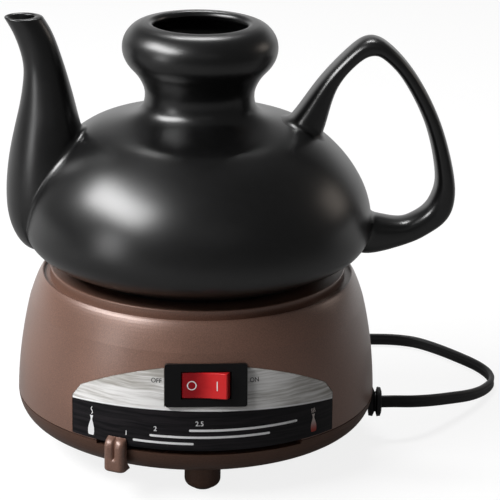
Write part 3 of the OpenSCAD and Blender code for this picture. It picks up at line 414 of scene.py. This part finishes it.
def step_back(line, i, share, length):
    """The place one length before such an entry, and its position in points along the line."""
    entry = line[i - 1].lerp(line[i], share)
    here, at = entry, i - 1
    while True:
        d = (line[at] - here).length
        if d >= length:
            if here is entry:
                position = (i - 1 + share) - length / max((line[i] - line[i - 1]).length, 1e-6)
            else:
                position = at + 1 - length / d
            return here.lerp(line[at], length / d), max(position, 1.0)
        length -= d
        here = line[at]
        at -= 1


def rooted(rings, samples, fillet, steps=7):
    """Cuts a loft where it enters the pot and turns its edge out into the pot's surface."""
    count = len(rings[0])
    columns = []
    for k in range(count):
        line = [Vector(r[k]) for r in rings]
        i, share = pot_entry(line)
        entry = line[i - 1].lerp(line[i], share)
        around = Vector(rings[i][(k + 1) % count]) - Vector(rings[i][k - 1])
        way = (line[i] - line[i - 1]).normalized()
        outward = around.cross(way).normalized()
        centre = sum((Vector(p) for p in rings[i]), Vector()) / count
        if outward.dot(line[i] - centre) < 0:
            outward = -outward
        _, normal = on_pot(entry)
        along = outward - normal * outward.dot(normal)
        if along.length <= 1e-3:
            along = way - normal * way.dot(normal)
        along = along.normalized()
        start, position = step_back(line, i, share, fillet)
        column = []
        for j in range(samples + 1):
            t = position * j / samples
            e = min(int(t), len(line) - 2)
            column.append(line[e].lerp(line[e + 1], t - e))
        column[-1] = start
        end, _ = on_pot(entry + along * fillet)
        for j in range(1, steps + 1):
            t = j / steps
            column.append(start * (1 - t) ** 2 + entry * 2 * t * (1 - t) + end * t * t)
        skirt, _ = on_pot(entry + along * (fillet + 0.6), sink=0.5)
        column.append(skirt)
        columns.append(column)
    return [[columns[k][j] for k in range(count)] for j in range(len(columns[0]))]


SPOUT_H, TIP_W, ROOT_W, SPOUT_WALL = 109.7, 15.5, 38, 3.6
# Outer and inner edge of each section, and its width, from the tip to the root
spout_shares = (
    (7.4, 1.000, -8.8, 1.003, 0), (3.3, 0.934, -12.8, 0.942, 0.01), (0.0, 0.838, -16.4, 0.848, 0.04),
    (-0.3, 0.767, -18.8, 0.777, 0.14), (1.2, 0.670, -21.6, 0.684, 0.38), (3.2, 0.590, -23.6, 0.608, 0.62),
    (5.9, 0.477, -26.0, 0.530, 0.84), (7.5, 0.354, -29.0, 0.447, 0.97), (7.2, 0.228, -27.0, 0.330, 1),
    (3.6, 0.132, -23.0, 0.230, 0.8), (-3.0, 0.072, -19.0, 0.170, 0.4), (-14.0, 0.075, -26.0, 0.125, 0.1))
spout_rows = [[-BELLY_R - a, SPOUT_H * b, -BELLY_R - c, SPOUT_H * d, TIP_W + (ROOT_W - TIP_W) * w]
              for a, b, c, d, w in spout_shares]


def bent(v, power):
    return math.copysign(abs(v) ** power, v)


def section(row, sides, left=0.0, right=0.0, power=1.0):
    a, b = Vector((row[0], 0, row[1])), Vector((row[2], 0, row[3]))
    u = (b - a).normalized()
    a, b = a + u * left, b - u * right
    c, h = (a + b) / 2, (b - a) / 2
    w = (row[4] - left - right) / 2
    return [c + h * bent(math.cos(t), power) + Vector((0, w * bent(math.sin(t), power), 0))
            for t in [2 * math.pi * (k + 0.5) / sides for k in range(sides)]]


def doubled_middle(row):
    return Vector((row[0] + row[2], 0, row[1] + row[3]))


rows = relax(smooth_line(spout_rows, 8), 14)
SPOUT_SIDES = 64
outer_rings = rooted([section(r, SPOUT_SIDES) for r in rows], 70, FILLET)
tip = rows[0]
rise = (doubled_middle(tip) - doubled_middle(rows[1])).normalized()
rim = []
for f in range(1, 6):
    a = math.pi * f / 6
    inset = (1 - math.cos(a)) / 2
    rim.append([p + rise * 0.7 * math.sin(a) for p in section(tip, SPOUT_SIDES, 1.6 * inset, 3.6 * inset)])
bore = [section(r, SPOUT_SIDES, 1.6 + 2.0 * min(1, i / 8), SPOUT_WALL) for i, r in enumerate(rows[:66])]
spout_rings = outer_rings[::-1] + rim + bore


def lifted(rings):
    return [[(p[0], p[1], p[2] + POT_Z) for p in ring] for ring in rings]


verts, faces = lathe([(r, z + POT_Z) for r, z in pot_profile], 224)
pot_piece = make("glazed_pot", verts, faces, "pot", glaze)
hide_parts("pot_floor", "pot_body", "pot_shoulder", "pot_neck")
verts, faces = tube(lifted(spout_rings), closed_ends=False)
spout_piece = make("glazed_spout", verts, faces, "pot", glaze)
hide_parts("pot_spout")

HANDLE_H, HANDLE_OUT, HANDLE_W = 103.3, 36.3, 15.5
handle_shares = (
    (-1.15, 0.581, -0.81, 0.474, 1.35), (-0.93, 0.668, -0.61, 0.575, 1.3), (-0.66, 0.805, -0.465, 0.772, 1.08),
    (-0.31, 0.938, -0.2, 0.885, 1), (-0.09, 0.988, -0.02, 0.912, 1), (0.145, 0.962, 0.125, 0.885, 1),
    (0.485, 0.833, 0.345, 0.8, 1), (0.795, 0.63, 0.635, 0.605, 1), (0.985, 0.4, 0.77, 0.4, 1),
    (1, 0.272, 0.745, 0.315, 1), (0.905, 0.195, 0.655, 0.255, 1), (0.705, 0.142, 0.505, 0.218, 1.02),
    (0.47, 0.1, 0.335, 0.2, 1.08), (-0.03, 0.052, -0.02, 0.226, 1.25), (-0.29, 0.085, -0.235, 0.228, 1.3))
handle_rows = [[BELLY_R + a * HANDLE_OUT, b * HANDLE_H, BELLY_R + c * HANDLE_OUT, d * HANDLE_H, w * HANDLE_W]
               for a, b, c, d, w in handle_shares]
rows = relax(smooth_line(handle_rows, 8), 8)
HANDLE_SIDES = 40
SQUARENESS = 0.72
rings = [section(r, HANDLE_SIDES, power=SQUARENESS) for r in rows]
middle = len(rings) // 2
upper = rooted(rings[:middle + 1][::-1], 60, FILLET)
lower = rooted(rings[middle:], 60, FILLET)
verts, faces = tube(lifted(upper[::-1] + lower[1:]), closed_ends=False)
handle_piece = make("glazed_handle", verts, faces, "pot", glaze)
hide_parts("pot_handle")


# ---- Base ----

def wear(node, mat, sharp=35):
    """Gives a carried-over CAD node its material and smooth shading."""
    obj = nodes[node]
    obj.data.materials.clear()
    obj.data.materials.append(mat)
    obj.data.polygons.foreach_set("use_smooth", [True] * len(obj.data.polygons))
    obj.data.set_sharp_from_angle(angle=math.radians(sharp))


for names, mat in (
        (("upper_housing", "collar_ring"), shell),
        (("bottom_tray",), tray),
        (("foot_pads", "cord_bush", "cord_tie", "plug_body", "inner_cord"), rubber),
        (("switch_plate", "switch_body"), black),
        (("heater_plate",), cast),
        (("heating_element",), sheath),
        (("heat_shield", "shield_screws", "thermostat_screws", "fuse_clip", "collar_screws", "housing_screws",
          "thermostat_spindle", "lever_arm", "spindle_clip"), steel),
        (("thermostat", "thermal_fuse", "terminal_block"), ceramic),
        (("switch_terminals", "plug_blades"), brass)):
    for name in names:
        wear(name, mat)


def turned_normals(node, fold=35, twist=0.06):
    """Shades a turned CAD node as truly round: each corner's normal points along its own radius."""
    limit = math.cos(math.radians(fold))
    mesh = nodes[node].data
    flat = []    # each face's normal outward, sideways and up, and its area
    at = [[] for _ in mesh.vertices]
    for face in mesh.polygons:
        x, y = face.center.x - base_x, face.center.y
        r = math.hypot(x, y) or 1
        c, s = x / r, y / r
        nx, ny, nz = face.normal
        flat.append((nx * c + ny * s, ny * c - nx * s, nz, face.area))
        for v in face.vertices:
            at[v].append(face.index)
    normals = [None] * len(mesh.loops)
    for face in mesh.polygons:
        for i in face.loop_indices:
            v = mesh.loops[i].vertex_index
            near = [g for g in at[v] if mesh.polygons[g].normal.dot(face.normal) > limit]
            if abs(flat[face.index][1]) < twist:
                near = [g for g in near if abs(flat[g][1]) < twist]
                x, y = mesh.vertices[v].co.x - base_x, mesh.vertices[v].co.y
                r = math.hypot(x, y) or 1
                nr, nz = (sum(flat[g][k] * flat[g][3] for g in near) for k in (0, 2))
                normals[i] = Vector((nr * x / r, nr * y / r, nz)).normalized()
            else:
                total = sum((mesh.polygons[g].normal * flat[g][3] for g in near), Vector())
                normals[i] = total.normalized()
    mesh.normals_split_custom_set(normals)


for name in ("upper_housing", "bottom_tray", "collar_ring"):
    turned_normals(name)
for name, width in (("switch_plate", 0.35), ("cord_bush", 0.3), ("cord_tie", 0.2)):
    soft = nodes[name].modifiers.new("soft", "BEVEL")
    soft.width = width * MM
    soft.segments = 2
    soft.limit_method = "ANGLE"
    soft.angle_limit = math.radians(40)

# The panel's print: pale wood grain above, near black below, along a curve
panel = material("panel_print", (0.5, 0.5, 0.5), 0.34, 0.0, 0.2)
n = Nodes(panel)
xyz = n.add("ShaderNodeSeparateXYZ")
n.feed(xyz.inputs[0], n.coords)
px = n.math("SUBTRACT", xyz.outputs["X"], base_x)
angle = n.math("ARCTAN2", px, n.math("MULTIPLY", xyz.outputs["Y"], -1.0))
height = xyz.outputs["Z"]
edge = n.math("ADD", 0.0413, n.math("ADD", n.math("MULTIPLY", angle, -0.0010),
                                     n.math("MULTIPLY", n.math("MULTIPLY", angle, angle), -0.0046)))
above = n.ramp(n.math("SUBTRACT", height, edge), -0.00012, 0.00012)
along = n.add("ShaderNodeCombineXYZ")
n.feed(along.inputs[0], n.math("MULTIPLY", angle, 0.076))
n.feed(along.inputs[1], n.math("ADD", height, n.math("MULTIPLY", n.noise(60.0, 2.0), 0.0022)))
grain = n.noise(760.0, 4.0, (0.045, 1, 1), along.outputs[0], 0.62)
wide = n.noise(150.0, 3.0, (0.12, 1, 1), along.outputs[0], 0.5)
both = n.math("ADD", n.math("MULTIPLY", grain, 0.55), n.math("MULTIPLY", wide, 0.45))
pale = n.mix(n.ramp(both, 0.36, 0.6), (0.40, 0.38, 0.35), (0.88, 0.87, 0.86))
dark = n.mix(n.ramp(grain, 0.35, 0.65), (0.003, 0.003, 0.004), (0.014, 0.012, 0.014))
rule = n.math("MULTIPLY", above, n.ramp(n.math("SUBTRACT", height, edge), 0.00075, 0.00055))
n.feed(n.bsdf.inputs["Base Color"], n.mix(rule, n.mix(above, dark, pale), (0.9, 0.9, 0.9)))
n.feed(n.bsdf.inputs["Roughness"], n.ramp(grain, 0.3, 0.7, 0.3, 0.42))
n.bump(grain, 0.2, 0.00003)
wear("control_panel", panel)

HOUSING_R, BARREL, BARREL_Z, PANEL_PROUD = 78.3, 0.0027, 20, 0.3


def side_r(z):
    return HOUSING_R - BARREL * (z - BARREL_Z) ** 2


def on_panel(s, z, lift=0.07):
    """A place on the front panel, from its way along the front and its height."""
    r = side_r(z) + PANEL_PROUD + lift
    a = s / HOUSING_R
    return (r * math.sin(a), -r * math.cos(a), z)


def along_front(degrees):
    return math.radians(degrees) * HOUSING_R


def strip(points, widths):
    """A flat band along points in a plane, with round ends."""
    left, right = [], []
    for i, (x, y) in enumerate(points):
        a, b = points[max(i - 1, 0)], points[min(i + 1, len(points) - 1)]
        d = math.dist(a, b)
        nx, ny = -(b[1] - a[1]) / d, (b[0] - a[0]) / d
        left.append((x + nx * widths[i] / 2, y + ny * widths[i] / 2))
        right.append((x - nx * widths[i] / 2, y - ny * widths[i] / 2))
    n = len(points)
    verts = left + right
    faces = [(i, i + 1, n + i + 1, n + i) for i in range(n - 1)]
    for end, way in ((0, -1), (n - 1, 1)):
        (x, y), w = points[end], widths[end] / 2
        a, b = points[max(end - 1, 0)], points[min(end + 1, n - 1)]
        t = math.atan2(b[1] - a[1], b[0] - a[0]) + (math.pi if way < 0 else 0)
        start = len(verts)
        verts += [(x + w * math.cos(t + f), y + w * math.sin(t + f))
                  for f in [math.radians(-90 + 22.5 * k) for k in range(9)]]
        faces.append(tuple(range(start, start + 9)))
    return verts, faces


def words(text, size, centre, bold=0.0):
    """Flat outlines of plain numbers or letters."""
    curve = bpy.data.curves.new("letters", "FONT")
    curve.body, curve.size, curve.align_x, curve.align_y = text, size, "CENTER", "CENTER"
    curve.offset = bold
    obj = bpy.data.objects.new("letters", curve)
    bpy.context.scene.collection.objects.link(obj)
    bpy.context.view_layer.update()
    mesh = obj.evaluated_get(bpy.context.evaluated_depsgraph_get()).to_mesh()
    verts = [(v.co.x + centre[0], v.co.y + centre[1]) for v in mesh.vertices]
    faces = [tuple(f.vertices) for f in mesh.polygons]
    bpy.data.objects.remove(obj)
    return verts, faces


def printed(name, shapes, mat, place=on_panel, body="base"):
    verts, faces = [], []
    for v, f in shapes:
        faces += [tuple(i + len(verts) for i in face) for face in f]
        verts += [place(*p) for p in v]
    obj = make(name, verts, faces, body, mat, smooth=False)
    return obj


def scale_line(start, end, z):
    a, b, n = along_front(start) + 0.5, along_front(end) - 0.5, 24
    return strip([(a + (b - a) * i / n, z) for i in range(n + 1)], [1.0] * (n + 1))


printed("scale_lines", [scale_line(-22.4, -3.6, 27.3), scale_line(-17.1, 20.1, 30.1),
                        scale_line(-5.1, 29.7, 33.1)], white_ink)
printed("scale_numbers", [words("1", 2.9, (along_front(-24.6), 29.6), 0.03),
                          words("2", 2.9, (along_front(-15.4), 33.0), 0.03),
                          words("2.5", 2.9, (along_front(-1.9), 36.0), 0.03)], white_ink)
printed("switch_words", [words("OFF", 2.7, (along_front(-15.6), 53.4), 0.02),
                         words("ON", 2.7, (along_front(15.4), 53.4), 0.02)], black_ink)


def bottle(s, low, high):
    """A flask seen from the side, as half widths up its height."""
    side = smooth_line([(1.0, 0), (1.42, 0.04), (1.62, 0.2), (1.5, 0.4), (0.95, 0.62), (0.5, 0.76), (0.45, 0.85),
                        (0.8, 0.97), (0.85, 1)], 4)
    n = len(side)
    verts = [(s + w * 0.95, low + (high - low) * t) for w, t in side] + [
        (s - w * 0.95, low + (high - low) * t) for w, t in side]
    return verts, [(i, i + 1, n + i + 1, n + i) for i in range(n - 1)]


def steam(s, z, height, sway):
    pts = [(s + sway * math.sin(2 * math.pi * t / 10), z + height * t / 10) for t in range(11)]
    return strip(pts, [0.34] * 11)


warm_at, hot_at = along_front(-36.8), along_front(36.0)
printed("warm_mark", [bottle(warm_at, 25.6, 34.2), steam(warm_at, 34.9, 2.9, 0.42)], white_ink)
hot_ink = material("hot_ink", (0.8, 0.8, 0.8), 0.4, 0.0, 0.4)
n = Nodes(hot_ink)
height = n.add("ShaderNodeSeparateXYZ")
n.feed(height.inputs[0], n.coords)
uneven = n.math("MULTIPLY", n.noise(900.0, 2.0), 0.0006)
fade = n.ramp(n.math("ADD", height.outputs["Z"], uneven), 0.0268, 0.0325)
n.feed(n.bsdf.inputs["Base Color"], n.mix(fade, (0.42, 0.045, 0.03), (0.62, 0.55, 0.52)))
wisps = [steam(hot_at + x, 34.7, 1.7, 0.16) for x in (-0.8, 0, 0.8)]
printed("hot_mark", [bottle(hot_at, 26.2, 34.0)] + wisps, hot_ink)


# ---- Knob ----

KNOB_AT, KNOB_W, KNOB_R, KNOB_LOW, KNOB_TOP = math.radians(-27.5), 9.3, 82.8, 12.5, 27.3
KNOB_GAP, TOP_ROUND, LOW_ROUND, EDGE_ROUND = 0.62, 4.4, 1.6, 2.3
LEVELS, ACROSS = 60, 24


def rounding(t, power):
    """How far a rounded edge has fallen back, from 0 at its start to 1 at its end."""
    return 1 - math.sqrt(max(0, 1 - t ** power))


rings = []
for k in range(LEVELS + 1):
    f = k / LEVELS
    z = KNOB_LOW + (KNOB_TOP - KNOB_LOW) * (1 - math.cos(math.pi * f)) / 2
    top, low = max(0, z - (KNOB_TOP - TOP_ROUND)) / TOP_ROUND, max(0, KNOB_LOW + LOW_ROUND - z) / LOW_ROUND
    front = KNOB_R - TOP_ROUND * rounding(top, 2.3) - LOW_ROUND * rounding(low, 2)
    wall_r = side_r(max(z, 23)) if z > 18 else max(72.0, HOUSING_R - 0.25 * (18 - z) ** 1.6)
    back_r = wall_r + KNOB_GAP
    half = KNOB_W / 2 - 0.9 * rounding(top, 3) - 0.7 * rounding(low, 2)
    ring = []
    for i in range(2 * ACROSS + 1):
        t = -1 + i / ACROSS
        u = half * math.sin(math.pi / 2 * t)
        edge = max(0, abs(u) - (half - EDGE_ROUND)) / EDGE_ROUND
        r = front - EDGE_ROUND * rounding(edge, 2.2)
        # The pointer's groove down the middle
        deep = min(1, max(0, (z - KNOB_LOW - 5.2) / 1.2))
        r -= 1.05 * deep * math.exp(-(u / 0.5) ** 2) + 0.35 * deep * math.exp(-(u / 1.5) ** 2)
        ring.append((u, max(r, back_r + 0.02)))
    ring += [(half, back_r), (half * 0.5, back_r), (0, back_r), (-half * 0.5, back_r), (-half, back_r)]
    c, d = math.cos(KNOB_AT), math.sin(KNOB_AT)
    rings.append([(u * c + r * d, u * d - r * c, z) for u, r in ring])
knob = make("lever_knob", *tube(rings), "lever", shell, sharp=50)
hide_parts("temperature_knob")


# ---- Rocker ----

SWITCH_Z, SWITCH_PROUD, LEAN, END_R, ROCKER_H, PIVOT = 52.4, 0.9, math.radians(11), 10.1, 10.8, 2.7
tilt = math.atan(2 * BARREL * (SWITCH_Z - BARREL_Z))


def on_switch(x, y, z):
    """From the switch's own place, Y into the base, to the base's axis."""
    return (x, -side_r(SWITCH_Z) - SWITCH_PROUD + y * math.cos(tilt) + z * math.sin(tilt),
            SWITCH_Z - y * math.sin(tilt) + z * math.cos(tilt))


def on_rocker(x, out, z):
    """From the rocker's own place, out of its face, leaning about its pivot."""
    c, d = math.cos(-LEAN), math.sin(-LEAN)
    return on_switch(x * c + out * d, PIVOT + x * d - out * c, z)


FACE_OUT, DISH = 4.02, 0.95


def face_out(x):
    """How far the dished face stands out at a place across it."""
    f = min(abs(x) / END_R, 0.8)
    return FACE_OUT - DISH * (1 - (f / 0.8) ** 1.6)


half = [(END_R * 0.8, -4)] + [(END_R * math.cos(a), END_R * math.sin(a))
                              for a in [math.radians(-22 + 6 * k) for k in range(7)]]
half += [(END_R * 0.955, 3.6), (END_R * 0.935, 3.95), (END_R * 0.89, 4.15), (END_R * 0.8, FACE_OUT)]
half += [(END_R * f, face_out(END_R * f)) for f in (0.6, 0.4, 0.2)]
profile = half + [(0, 3.02)] + [(-x, y) for x, y in half[::-1]]
verts = [on_rocker(x, y, z) for z in (-ROCKER_H / 2, ROCKER_H / 2) for x, y in profile]
count = len(profile)
faces = [tuple(range(count)), tuple(range(2 * count - 1, count - 1, -1))]
faces += [(i, (i + 1) % count, count + (i + 1) % count, count + i) for i in range(count)]
key = make("rocker_key", verts, faces, "rocker", lens, sharp=30)
soft = key.modifiers.new("soft", "BEVEL")
soft.width, soft.segments, soft.limit_method, soft.angle_limit = 0.4 * MM, 3, "ANGLE", math.radians(50)
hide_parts("rocker")


ring_mark = [(-5.3 + r * math.cos(math.radians(15 * k)), r * math.sin(math.radians(15 * k)))
             for r in (1.55, 1.95) for k in range(24)]
ring_faces = [(k, (k + 1) % 24, 24 + (k + 1) % 24, 24 + k) for k in range(24)]
bar_mark = strip([(5.2, -1.8 + 0.4 * k) for k in range(10)], [0.42] * 10)
printed("rocker_marks", [(ring_mark, ring_faces), bar_mark], white_ink,
        place=lambda x, z: on_rocker(x, face_out(x) + 0.05, z), body="rocker")


# ---- Stage ----

def calc(tree, op, a, b, clamp=False):
    """A sum in a floor's or world's node tree, from sockets or numbers."""
    n = tree.nodes.new("ShaderNodeMath")
    n.operation, n.use_clamp = op, clamp
    for i, v in enumerate((a, b)):
        if hasattr(v, "is_output"):
            tree.links.new(v, n.inputs[i])
        else:
            n.inputs[i].default_value = v
    return n.outputs[0]


def calc_ramp(tree, value, lo, hi, low=0.0, high=1.0):
    n = tree.nodes.new("ShaderNodeMapRange")
    n.interpolation_type = "SMOOTHSTEP"
    tree.links.new(value, n.inputs["Value"])
    for key, v in (("From Min", lo), ("From Max", hi), ("To Min", low), ("To Max", high)):
        n.inputs[key].default_value = v
    return n.outputs["Result"]


def place_in(tree, coords):
    n = tree.nodes.new("ShaderNodeSeparateXYZ")
    tree.links.new(tree.nodes.new("ShaderNodeTexCoord").outputs[coords], n.inputs[0])
    return n.outputs


def background_rays(tree):
    """1 where a camera ray meets the surface, and 1 where a camera, glossy or transmission ray does."""
    path = tree.nodes.new("ShaderNodeLightPath")
    seen = path.outputs["Is Camera Ray"]
    for name in ("Is Glossy Ray", "Is Transmission Ray"):
        seen = calc(tree, "ADD", seen, path.outputs[name], clamp=True)
    return path.outputs["Is Camera Ray"], seen


# The camera sees the floor white, and gloss sees it dimmer before the object than behind it
FLOOR_WHITE = 0.84
floor_mat = material("floor", (0.2, 0.2, 0.2), 0.9, 0.0, 0.0)
tree = floor_mat.node_tree
glow = tree.nodes.new("ShaderNodeEmission")
glow.inputs["Color"].default_value = (1, 1, 1, 1)
camera_ray, seen = background_rays(tree)
far = calc_ramp(tree, place_in(tree, "Object")["Y"], -0.1, 0.6, 0.05, 0.7)
share = calc(tree, "MULTIPLY", seen, calc(tree, "MAXIMUM", camera_ray, far))
tree.links.new(calc(tree, "MULTIPLY", share, FLOOR_WHITE), glow.inputs["Strength"])
both = tree.nodes.new("ShaderNodeAddShader")
tree.links.new(tree.nodes["Principled BSDF"].outputs[0], both.inputs[0])
tree.links.new(glow.outputs[0], both.inputs[1])
tree.links.new(both.outputs[0], tree.nodes["Material Output"].inputs["Surface"])
FLOOR_HALF = 6
floor_mesh = bpy.data.meshes.new("floor")
floor_mesh.from_pydata([(x * FLOOR_HALF, y * FLOOR_HALF, 0) for x, y in ((-1, -1), (1, -1), (1, 1), (-1, 1))],
                       [], [(0, 1, 2, 3)])
floor = bpy.data.objects.new("floor", floor_mesh)
floor.location.z = -0.0002
floor_mesh.materials.append(floor_mat)
bpy.context.scene.collection.objects.link(floor)


def softbox(name, azimuth, elevation, distance, size, level, color=(1, 1, 1)):
    """A lamp whose face has the given radiance. Azimuth 0 is in front, to the right above 0."""
    data = bpy.data.lights.new(name, "AREA")
    data.shape = "RECTANGLE"
    data.size, data.size_y = size
    data.energy = level * math.pi * size[0] * size[1]
    data.color = color
    lamp = bpy.data.objects.new(name, data)
    a, e = math.radians(azimuth), math.radians(elevation)
    d = Vector((math.sin(a) * math.cos(e), -math.cos(a) * math.cos(e), math.sin(e)))
    lamp.location = Vector((base_x, 0, 0.1)) + d * distance
    lamp.rotation_euler = d.to_track_quat("Z", "Y").to_euler()
    bpy.context.scene.collection.objects.link(lamp)
    return lamp


softbox("key", -71, 41, 1.1, (0.9, 0.36), 15.0)
softbox("low_left", -60, 3, 1.5, (0.4, 0.8), 3.6)
softbox("rear", 180, 62, 1.2, (0.45, 0.2), 20.0)
softbox("side", 108, 18, 1.4, (0.4, 0.4), 1.5, (1, 0.88, 0.78))
softbox("front", 8, 30, 1.8, (0.9, 0.6), 0.13)

world = bpy.data.worlds.new("world")
bpy.context.scene.world = world
world.use_nodes = True
tree = world.node_tree
ground = tree.nodes["Background"]
ground.inputs["Color"].default_value = (1, 1, 1, 1)

# The white backdrop stands behind the object and the room before it is dim
AMBIENT = 0.1
way = place_in(tree, "Generated")
behind = calc(tree, "MULTIPLY", calc_ramp(tree, way["Y"], 0.5, 0.97), calc_ramp(tree, way["Z"], 0.45, 0.15))
camera_ray, seen = background_rays(tree)
shown = calc(tree, "MAXIMUM", camera_ray, behind)
extra = calc(tree, "MULTIPLY", calc(tree, "MULTIPLY", seen, shown), 1 - AMBIENT)
tree.links.new(calc(tree, "ADD", extra, AMBIENT), ground.inputs["Strength"])
bpy.context.scene.view_settings.view_transform = "Standard"
